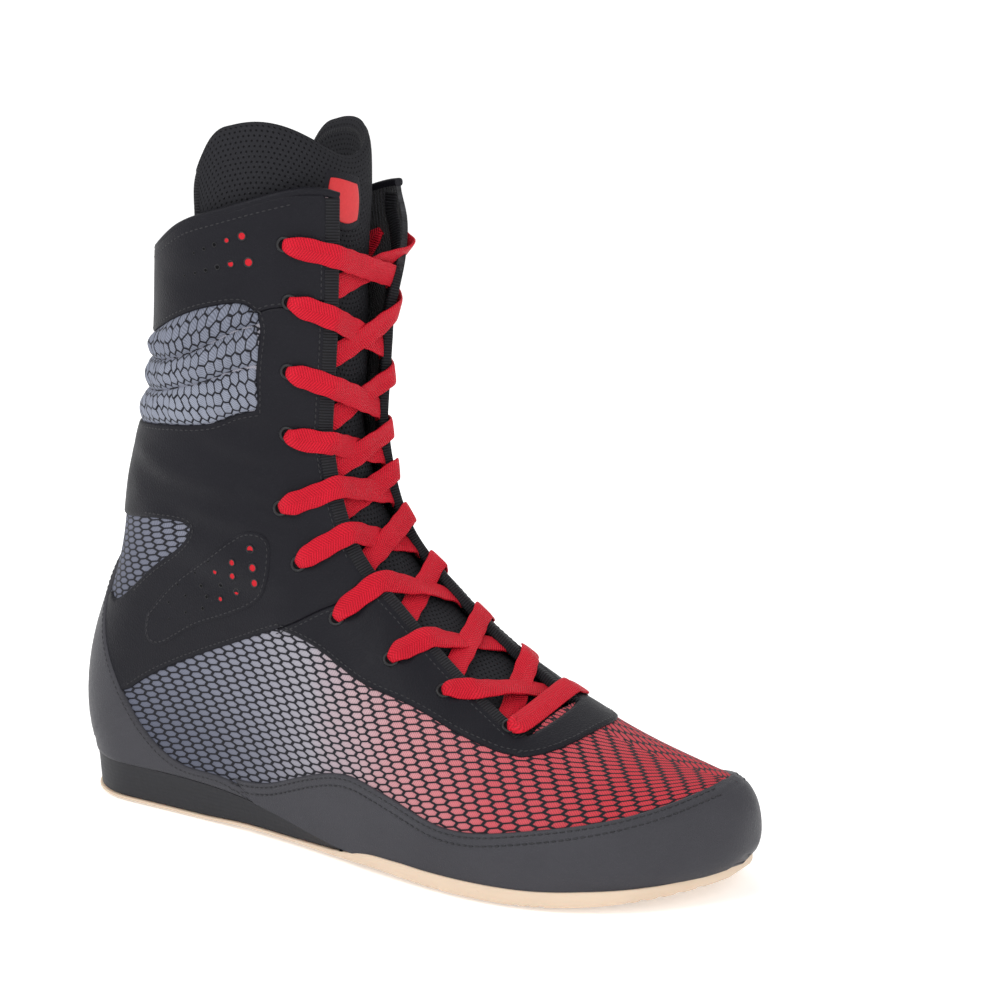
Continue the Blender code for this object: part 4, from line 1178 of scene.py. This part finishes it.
run_u = np.concatenate([np.zeros((rows, 1)), np.cumsum(step_u, 1)], 1)
run_u = run_u - run_u[:, [columns // 2]]
uv = np.stack([run_u, run_v], -1).reshape(-1, 2)
full = rows * columns
faces = quads(0, rows, columns) + quads(full, rows, columns)
faces += [(a, b, full + b, full + a) for a, b in grid_rim(rows, columns)]
tongue = tidy(link("padded_tongue", np.vstack([face.reshape(-1, 3), back.reshape(-1, 3)]), faces,
                   [spacer_mesh], np.vstack([uv, uv])), 2e-6, 80)
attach(tongue, "root")
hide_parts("tongue")

# its bound edge, up one side, over the top and down the other
side_v = np.linspace(0.35, 0.985, 150)
top_u = np.linspace(-0.985, 0.985, 170)
walk_u = np.r_[np.full(150, -0.985), top_u[1:-1], np.full(150, 0.985)]
walk_v = np.r_[side_v, np.full(168, 0.985), side_v[::-1]]
middle = tongue_skin(walk_u, walk_v, TONGUE / 2)
outward = tongue_skin(walk_u, walk_v, 0.0) - tongue_skin(walk_u, walk_v, TONGUE)
outward /= np.linalg.norm(outward, axis=1, keepdims=True)
for _ in range(14):
    middle[1:-1] = (middle[:-2] + 2 * middle[1:-1] + middle[2:]) / 4
    outward[1:-1] = (outward[:-2] + 2 * outward[1:-1] + outward[2:]) / 4
tongue_edge = strip("tongue_binding", [swept(middle, outward, 0.0019, 0.0019, 2.3, 12)], ribbed_tape)

# a plain two-tone patch sewn on under the top edge
patch_red = Finish("patch_red", Roughness=0.42, Specular_IOR_Level=0.4)
patch_at = patch_red.place()
patch_weave = patch_red.noise(patch_at, 900.0)
patch_cloth = patch_red.wear(patch_red.mix(patch_weave, (0.50, 0.010, 0.014), (0.66, 0.022, 0.028)), 0.42,
                             patch_weave, 0.0002, 0.5)
for number, (half_u, half_v, height, finish) in enumerate(((0.17, 0.034, 0.0007, black_leather),
                                                           (0.14, 0.026, 0.0012, patch_cloth))):
    a = np.linspace(-1, 1, 30)[None, :]
    b = np.linspace(-1, 1, 30)[:, None]
    a, b = np.broadcast_arrays(a, b)
    round_a = a * np.sqrt(1 - 0.30 * b ** 2)
    round_b = b * np.sqrt(1 - 0.30 * a ** 2)
    swell = rounding(1 - np.maximum(np.abs(a), np.abs(b)), 6.0)
    wave = tongue_skin(-0.10 + half_u * round_a, 0.945 + half_v * round_b, -height * (0.3 + 0.7 * swell))
    base = tongue_skin(-0.10 + half_u * round_a, 0.945 + half_v * round_b, 0.0006)
    rows, columns = wave.shape[:2]
    full = rows * columns
    faces = quads(0, rows, columns) + quads(full, rows, columns)
    faces += [(c, d, full + d, full + c) for c, d in grid_rim(rows, columns)]
    patch = tidy(link(f"tongue_patch_{number + 1}", np.vstack([wave.reshape(-1, 3), base.reshape(-1, 3)]),
                      faces, [finish]), 2e-6)
    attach(patch, "root")

# ---- Laces: one long flat woven lace, crossed nine times and barred at the bottom ----
# It comes up through each eyelet, lies over its own flap, crosses the throat and dives under the far
# flap.  The ends go in at the top eyelets.
EYELETS = [(125, 237), (126, 215), (124, 188), (122, 163), (121, 134), (130, 113), (149, 94),
           (174, 81), (196, 71), (222, 60)]
LACE_HALF, LACE_THIN, LEATHER = 0.0043, 0.00062, 0.0011
weave = Finish("lace_weave", Specular_IOR_Level=0.15)
lace_u, lace_v, _ = weave.parts(weave.place("UV"))
skew = lace_u + lace_v.math("ABSOLUTE") * 0.55
thread = (skew / 0.00105).math("FRACT").math("PINGPONG", 0.5) * 2.0
warp = (lace_v / 0.0009).math("FRACT").math("PINGPONG", 0.5) * 2.0
lace_cloud = weave.noise(weave.place(), 120.0)
lace_tone = weave.mix(thread * 0.7 + lace_cloud * 0.3, (0.34, 0.004, 0.011), (0.78, 0.012, 0.036))
lace_weave = weave.wear(lace_tone, 0.58, thread + warp * 0.5, 0.0004, 0.9)


def eyelet_at(row, side):
    s, t = place(*EYELETS[row], side)
    return float(s), float(t)


def flap_edge(s, side, inset=0.0):
    return side * float(throat_t([s], side, inset)[0])


def lace_run(row, side, over):
    """One diagonal: up through its own eyelet, across, and under the far flap's edge."""
    s0, t0 = eyelet_at(row, side)
    s1, _ = eyelet_at(row + 1, side)
    s_bend = s0 + 0.38 * (s1 - s0)
    s_end = s1 + 0.08 * (s0 - s1)
    lift = LEATHER + LACE_THIN + 0.0003
    spots, ways = [], []
    te = flap_edge(s_bend, side)
    for share, high in ((-0.015, -0.0016), (0.0, 0.0004), (0.10, lift + 0.0004), (0.35, lift + 0.0001),
                        (0.70, lift), (0.96, lift + 0.0001)):
        s, t = s0 + (s_bend - s0) * max(share, 0), t0 + (te - t0) * share
        spots.append(surface(s, t, high))
        ways.append(normal_at(s, t))
    far_s, far_t = s_end, flap_edge(s_end, -side)
    start, end = spots[-1], surface(far_s, far_t, -0.0030)
    n0, n1 = ways[-1], normal_at(far_s, far_t)
    cross = n0 + n1
    cross /= np.linalg.norm(cross)
    for share in (0.25, 0.5, 0.75):
        rise = math.sin(math.pi * share) * (0.0016 if over else 0.0001)
        spots.append(start + (end - start) * share + cross * rise)
        ways.append(n0 * (1 - share) + n1 * share)
    spots.append(end)
    ways.append(n1)
    tuck_s, tuck_t = s_end + 0.25 * (s1 - s_end), flap_edge(s_end, -side, 0.0040)
    spots.append(surface(tuck_s, tuck_t, -WALL - 0.0009))
    ways.append(normal_at(tuck_s, tuck_t))
    path = smooth_curve(np.array(spots), 84)
    guide = smooth_curve(np.hstack([np.array(spots), np.array(ways)]), 84)[:, 3:]
    guide /= np.linalg.norm(guide, axis=1, keepdims=True)
    run = np.r_[0, np.cumsum(np.linalg.norm(np.diff(path, axis=0), axis=1))]
    open_up = ease((run - 0.0008) / 0.0085)
    ripple = 1 + 0.035 * np.sin(run * 700 + row * 2.3 + side)
    wide = (0.0019 + (LACE_HALF - 0.0019) * open_up) * ripple
    thick = 0.0011 + (LACE_THIN - 0.0011) * open_up
    along = np.gradient(path, axis=0)
    along /= np.linalg.norm(along, axis=1, keepdims=True)
    across = np.cross(along, guide)
    across /= np.linalg.norm(across, axis=1, keepdims=True)
    settled = 1 - ease((run - run[-1] * 0.7) / 0.01)
    roll = 0.16 * np.sin(run * 160 + row * 1.7 + side * 0.8) * open_up * settled
    guide = guide * np.cos(roll)[:, None] + across * np.sin(roll)[:, None]
    return swept(path, guide, wide, thick, 3.4, 16)


for row in range(len(EYELETS) - 1):
    top_side = -1 if row % 2 == 0 else 1
    runs = [lace_run(row, top_side, True), lace_run(row, -top_side, False)]
    crossing = strip(f"lace_cross_{row + 1}", runs, lace_weave)
    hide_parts(f"lace_crossing_{row + 1}")

spots, ways = [], []
low = len(EYELETS) - 1
bar_s = eyelet_at(low, -1)[0] - 0.015
for side, shares in ((-1, (-0.02, 0.0, 0.22, 0.6, 1.0)), (1, (1.0, 0.6, 0.22, 0.0, -0.02))):
    s0, t0 = eyelet_at(low, side)
    te = flap_edge(bar_s, side)
    for share in shares:
        high = {-0.02: -0.0016, 0.0: 0.0004, 0.22: 0.0022}.get(share, LEATHER + LACE_THIN + 0.0006)
        s, t = s0 + (bar_s - s0) * max(share, 0), t0 + (te - t0) * share
        spots.append(surface(s, t, high))
        ways.append(normal_at(s, t))
guide = smooth_curve(np.hstack([np.array(spots), np.array(ways)]), 100)
path, guide = guide[:, :3], guide[:, 3:] / np.linalg.norm(guide[:, 3:], axis=1, keepdims=True)
run = np.r_[0, np.cumsum(np.linalg.norm(np.diff(path, axis=0), axis=1))]
open_up = ease((np.minimum(run, run[-1] - run) - 0.0008) / 0.006)
bar = strip("lace_low_bar", [swept(path, guide, 0.0019 + (LACE_HALF - 0.0019) * open_up,
                                   0.0011 + (LACE_THIN - 0.0011) * open_up, 3.4, 16)], lace_weave)
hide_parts("lace_bar")

# the two ends, tucked in behind the flaps from the top eyelets
tails = []
for side in (-1, 1):
    s0, t0 = eyelet_at(0, side)
    spots = [surface(s0, t0, -0.0030), surface(s0 - 0.01, t0 + side * 0.010, -WALL - 0.0012),
             surface(s0 - 0.03, t0 + side * 0.030, -WALL - 0.0014),
             surface(s0 - 0.06, t0 + side * 0.050, -WALL - 0.0013)]
    path = smooth_curve(np.array(spots), 30)
    guide = np.repeat(normal_at(s0, t0)[None, :], 30, 0)
    grow = ease(np.linspace(0, 1, 30) / 0.5)
    tails.append(swept(path, guide, 0.0018 + 0.0020 * grow, 0.0010 - 0.0004 * grow, 3.0, 14))
tail = strip("lace_ends_inside", tails, lace_weave)

# ---- Stitching: black lockstitch along every leather edge, two rows along the toe rand ----
# Short rounded stitches of bonded thread, pulled slightly into the leather.
def socket_of(tree, name):
    return next(i.identifier for i in tree.interface.items_tree if i.name == name and i.in_out == "INPUT")


def new_tree(name, inputs):
    tree = bpy.data.node_groups.new(name, "GeometryNodeTree")
    tree.interface.new_socket("Geometry", in_out="INPUT", socket_type="NodeSocketGeometry")
    for label, kind in inputs:
        tree.interface.new_socket(label, in_out="INPUT", socket_type=kind)
    tree.interface.new_socket("Geometry", in_out="OUTPUT", socket_type="NodeSocketGeometry")
    return tree, tree.nodes.new("NodeGroupInput"), tree.nodes.new("NodeGroupOutput")


def added(tree, kind, settings=(), **sockets):
    node = tree.nodes.new(kind)
    for name, value in dict(settings).items():
        setattr(node, name, value)
    for name, value in sockets.items():
        socket = node.inputs[name.replace("_", " ")]
        if isinstance(value, bpy.types.NodeSocket):
            tree.links.new(value, socket)
        else:
            socket.default_value = value
    return node


def baked(name, source, tree, values):
    """Runs a tree on a source object and leaves a plain mesh in its place."""
    mod = source.modifiers.new(name, "NODES")
    mod.node_group = tree
    for label, value in values.items():
        mod[socket_of(tree, label)] = value
    ready = source.evaluated_get(bpy.context.evaluated_depsgraph_get())
    mesh = bpy.data.meshes.new_from_object(ready)
    source.modifiers.remove(mod)
    bpy.data.objects.remove(source, do_unlink=True)
    obj = bpy.data.objects.new(name, mesh)
    mesh.name = name
    scene.collection.objects.link(obj)
    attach(obj, "root")
    return obj


stitch_tree, given, result = new_tree("stitch_row", [
    ("Pitch", "NodeSocketFloat"), ("Length", "NodeSocketFloat"), ("Thickness", "NodeSocketFloat"),
    ("Thread", "NodeSocketMaterial")])
row_curve = added(stitch_tree, "GeometryNodeMeshToCurve", Mesh=given.outputs["Geometry"])
even = added(stitch_tree, "GeometryNodeResampleCurve", {"mode": "LENGTH"}, Curve=row_curve.outputs[0],
             Length=given.outputs["Pitch"])
way = added(stitch_tree, "GeometryNodeInputTangent")
aim = added(stitch_tree, "FunctionNodeAlignRotationToVector", {"axis": "X"}, Vector=way.outputs[0])
half_long = added(stitch_tree, "ShaderNodeMath", {"operation": "MULTIPLY"})
stitch_tree.links.new(given.outputs["Length"], half_long.inputs[0])
half_long.inputs[1].default_value = 0.5
half_fat = added(stitch_tree, "ShaderNodeMath", {"operation": "MULTIPLY"})
stitch_tree.links.new(given.outputs["Thickness"], half_fat.inputs[0])
half_fat.inputs[1].default_value = 0.5
size = added(stitch_tree, "ShaderNodeCombineXYZ", X=half_long.outputs[0], Y=half_fat.outputs[0],
             Z=half_fat.outputs[0])
bead = added(stitch_tree, "GeometryNodeMeshUVSphere", Segments=6, Rings=4, Radius=1.0)
row = added(stitch_tree, "GeometryNodeInstanceOnPoints", Points=even.outputs[0], Instance=bead.outputs[0],
            Rotation=aim.outputs[0], Scale=size.outputs[0])
real = added(stitch_tree, "GeometryNodeRealizeInstances", Geometry=row.outputs[0])
soft_row = added(stitch_tree, "GeometryNodeSetShadeSmooth", Geometry=real.outputs[0])
thread_row = added(stitch_tree, "GeometryNodeSetMaterial", Geometry=soft_row.outputs[0],
                   Material=given.outputs["Thread"])
stitch_tree.links.new(thread_row.outputs[0], result.inputs[0])


def seam_row(points, distance, toward, side, height):
    """A stitch line beside a side-view chain, on the side of it that faces a side-view point."""
    path = evenly(shape_at(points, side), 0.0012)
    aim_at = surface(*place(toward[0], toward[1], side))
    rows = [moved(path, distance * sign) for sign in (1, -1)]
    near = [np.linalg.norm(surface(r[:, 0], r[:, 1]) - aim_at, axis=1).mean() for r in rows]
    best = rows[int(np.argmin(near))]
    return surface(best[:, 0], best[:, 1], height)


def row_object(name, lines):
    vertices, edges = [], []
    for line in lines:
        first = len(vertices)
        vertices += [tuple(p) for p in line]
        edges += [(first + i, first + i + 1) for i in range(len(line) - 1)]
    mesh = bpy.data.meshes.new(name)
    mesh.from_pydata(vertices, edges, [])
    obj = bpy.data.objects.new(name, mesh)
    scene.collection.objects.link(obj)
    return obj


thread_finish = Finish("bonded_thread", Specular_IOR_Level=0.35)
thread_at = thread_finish.place()
thread_ply = thread_finish.noise(thread_at, 2200.0)
black_thread = thread_finish.wear(thread_finish.mix(thread_ply, (0.008, 0.008, 0.010), (0.030, 0.030, 0.034)),
                                  0.5, thread_ply, 0.0001, 0.6)
rand_rows_3d, leather_rows = [], []
rand_front = RAND_EDGE[:-1]
for side in (-1, 1):
    rand_rows_3d.append(seam_row(rand_front, 0.0016, (200, 8), side, 0.00130))
    rand_rows_3d.append(seam_row(rand_front, 0.0044, (200, 8), side, 0.00135))
    leather_rows += [
        seam_row(COUNTER_EDGE[1:-1], 0.0020, (15, 40), side, 0.00150),
        seam_row(facing_foot, 0.0018, (170, 95), side, 0.00105),
        seam_row(strap_foot, 0.0018, (80, 95), side, 0.00085),
        seam_row(strap_end, 0.0016, (150, 80), side, 0.00105),
        seam_row(mesh_gap[2:-2], 0.0018, (110, 130), side, 0.00085),
        seam_row(window_top, 0.0016, (85, 235), side, 0.00095),
        seam_row(window_front, 0.0018, (128, 190), side, 0.00085),
        seam_row(window_foot, 0.0018, (85, 145), side, 0.00085),
        seam_row(collar_seam, 0.0014, (118, 235), side, 0.00095),
        seam_row(plate_shape, 0.0012, (95, 103), side, 0.00125),
        seam_row(collar_front[:-1], 0.0034, (95, 225), side, 0.00095)]
    for low_s, high_s in ((SLIT_S + 0.06, float(section_of(152, 100))), (1.28, 2.44)):
        line = beside_throat(low_s, high_s, side, UNDERLAY + 0.0016)
        leather_rows.append(surface(line[:, 0], line[:, 1], 0.0010))
tip_rows = [moved(evenly(facing_tip, 0.0012), distance) for distance in (0.0018, -0.0018)]
tip_row = min(tip_rows, key=lambda found: np.abs(found[:, 0] - 0.55).mean())
leather_rows.append(surface(tip_row[:, 0], tip_row[:, 1], 0.00105))
baked("rand_stitching", row_object("rand_rows", rand_rows_3d), stitch_tree,
      {"Pitch": 0.0026, "Length": 0.0021, "Thickness": 0.00062, "Thread": black_thread})
baked("leather_stitching", row_object("leather_rows", leather_rows), stitch_tree,
      {"Pitch": 0.0023, "Length": 0.0018, "Thickness": 0.00050, "Thread": black_thread})

# ---- Vent holes and eyelets: punched through the leather, the big ones showing red cloth ----
# Small round holes with a pressed edge on the collar and the ankle plate; blacked rings take the lace.
hole_tree, given, result = new_tree("punched_hole", [
    ("Ring", "NodeSocketFloat"), ("Edge", "NodeSocketMaterial"), ("Floor", "NodeSocketMaterial")])
circle = added(hole_tree, "GeometryNodeCurvePrimitiveCircle", Resolution=16, Radius=1.0)
profile = added(hole_tree, "GeometryNodeCurvePrimitiveCircle", Resolution=6)
hole_tree.links.new(given.outputs["Ring"], profile.inputs["Radius"])
ring = added(hole_tree, "GeometryNodeCurveToMesh", Curve=circle.outputs[0], Profile_Curve=profile.outputs[0])
ring_edge = added(hole_tree, "GeometryNodeSetMaterial", Geometry=ring.outputs[0],
                  Material=given.outputs["Edge"])
plug = added(hole_tree, "GeometryNodeMeshCylinder", Vertices=16, Radius=0.98, Depth=0.10)
plug_floor = added(hole_tree, "GeometryNodeSetMaterial", Geometry=plug.outputs[0],
                   Material=given.outputs["Floor"])
whole_hole = hole_tree.nodes.new("GeometryNodeJoinGeometry")
hole_tree.links.new(ring_edge.outputs[0], whole_hole.inputs[0])
hole_tree.links.new(plug_floor.outputs[0], whole_hole.inputs[0])
facing_way = added(hole_tree, "GeometryNodeInputNamedAttribute", {"data_type": "FLOAT_VECTOR"}, Name="facing")
hole_size = added(hole_tree, "GeometryNodeInputNamedAttribute", {"data_type": "FLOAT"}, Name="size")
turned = added(hole_tree, "FunctionNodeAlignRotationToVector", {"axis": "Z"}, Vector=facing_way.outputs[0])
spread = added(hole_tree, "GeometryNodeInstanceOnPoints", Points=given.outputs["Geometry"],
               Instance=whole_hole.outputs[0], Rotation=turned.outputs[0])
hole_tree.links.new(hole_size.outputs[0], spread.inputs["Scale"])
real = added(hole_tree, "GeometryNodeRealizeInstances", Geometry=spread.outputs[0])
hole_tree.links.new(real.outputs[0], result.inputs[0])


def hole_points(name, spots, height):
    """Loose points with the way each faces and its radius, from (x, z, radius) side-view spots."""
    points, ways, sizes = [], [], []
    for x, z, radius in spots:
        for side in (-1, 1):
            s, t = place(x, z, side)
            points.append(tuple(surface(s, t, height)))
            ways.append(tuple(normal_at(s, t)))
            sizes.append(radius)
    mesh = bpy.data.meshes.new(name)
    mesh.from_pydata(points, [], [])
    facing = mesh.attributes.new("facing", "FLOAT_VECTOR", "POINT")
    facing.data.foreach_set("vector", np.array(ways).ravel())
    size = mesh.attributes.new("size", "FLOAT", "POINT")
    size.data.foreach_set("value", sizes)
    obj = bpy.data.objects.new(name, mesh)
    scene.collection.objects.link(obj)
    return obj


pressed = Finish("pressed_edge", Roughness=0.45, Specular_IOR_Level=0.35)
pressed_at = pressed.place()
pressed_grain = pressed.noise(pressed_at, 1500.0)
pressed_edge = pressed.wear(pressed.mix(pressed_grain, (0.006, 0.006, 0.007), (0.014, 0.014, 0.016)), 0.42,
                            pressed_grain, 0.0001, 0.5)
behind = Finish("red_backing", Specular_IOR_Level=0.2)
behind_at = behind.place()
behind_knit = behind.noise(behind_at, 1600.0)
red_backing = behind.wear(behind.mix(behind_knit, (0.34, 0.006, 0.012), (0.62, 0.014, 0.026)), 0.75,
                          behind_knit, 0.0002, 0.6)
shade = Finish("hole_shade", Specular_IOR_Level=0.1)
shade_at = shade.place()
hole_shade = shade.wear(shade.mix(shade.noise(shade_at, 1600.0), (0.002, 0.002, 0.0025),
                                  (0.006, 0.006, 0.007)), 0.9)
plate_red = [(109, 117, .00150), (111, 110, .00155), (112, 104, .00150), (101, 111, .00125),
             (101, 105.5, .00125), (102, 99, .00130), (92, 106, .00095), (94, 95, .00095)]
plate_dark = [(94, 100.7, .00090), (84, 99, .00075), (87, 95, .00075), (85, 90, .00070), (72, 98, .00050),
              (76, 94, .00055), (76, 87, .00055), (67, 90, .00048), (67, 83, .00048), (60, 80, .00040),
              (61, 75, .00040), (77, 81.5, .00045), (89, 110, .00050), (81, 104, .00050)]
collar_red = [(110, 240, .00150), (112, 230, .00165), (105, 229.2, .00120), (104, 238.2, .00095)]
collar_dark = [(99, 236.4, .00080), (94.5, 234.6, .00062), (90, 232.8, .00048), (99.5, 227.8, .00090),
               (94.5, 226.4, .00070), (89.5, 225, .00055), (84, 223.6, .00045)]
for name, spots, height, backing in (("plate_vents_red", plate_red, 0.00132, red_backing),
                                     ("plate_vents_dark", plate_dark, 0.00132, hole_shade),
                                     ("collar_vents_red", collar_red, 0.00102, red_backing),
                                     ("collar_vents_dark", collar_dark, 0.00102, hole_shade)):
    baked(name, hole_points(name + "_spots", spots, height), hole_tree,
          {"Ring": 0.20, "Edge": pressed_edge, "Floor": backing})
eyelet_spots = [(x, z, 0.0025) for x, z in EYELETS]
baked("lace_eyelets", hole_points("eyelet_spots", eyelet_spots, 0.00112), hole_tree,
      {"Ring": 0.24, "Edge": pressed_edge, "Floor": hole_shade})

# ---- Stage: a pale floor with far-off pale walls, and soft studio light ----
# The sheet runs out on all sides to a low wall, and three round softboxes stand round the shoe.
floor_finish = Finish("studio_floor", Base_Color=(0.97, 0.97, 0.97, 1), Roughness=0.8,
                      Specular_IOR_Level=0.1, Emission_Color=(1, 1, 1, 1), Emission_Strength=0.30)
corners = [(-30, -30), (30, -30), (30, 30), (-30, 30)]
floor = link("studio_floor", [(x, y, z) for z in (0, 4) for x, y in corners],
             [(0, 1, 2, 3)] + [(i, 4 + i, 4 + (i + 1) % 4, (i + 1) % 4) for i in range(4)],
             [floor_finish.material], smooth=False)
world = bpy.data.worlds.new("studio")
world.use_nodes = True
world.node_tree.nodes["Background"].inputs["Color"].default_value = (1, 1, 1, 1)
world.node_tree.nodes["Background"].inputs["Strength"].default_value = 0.78
scene.world = world
scene.view_settings.view_transform = "Standard"


def softbox(name, place, target, size, power):
    light = bpy.data.lights.new(name, "AREA")
    light.shape, light.size, light.energy = "DISK", size, power
    obj = bpy.data.objects.new(name, light)
    scene.collection.objects.link(obj)
    obj.location = place
    obj.rotation_euler = (Vector(place) - Vector(target)).to_track_quat("Z", "Y").to_euler()


softbox("key_light", (-0.2, -0.9, 1.1), (0.1, 0, 0.1), 0.7, 7)
softbox("fill_light", (1.2, -0.7, 0.7), (0.1, 0, 0.1), 0.9, 3.5)
softbox("back_light", (-0.5, 0.9, 1.2), (0.1, 0, 0.1), 0.8, 5)
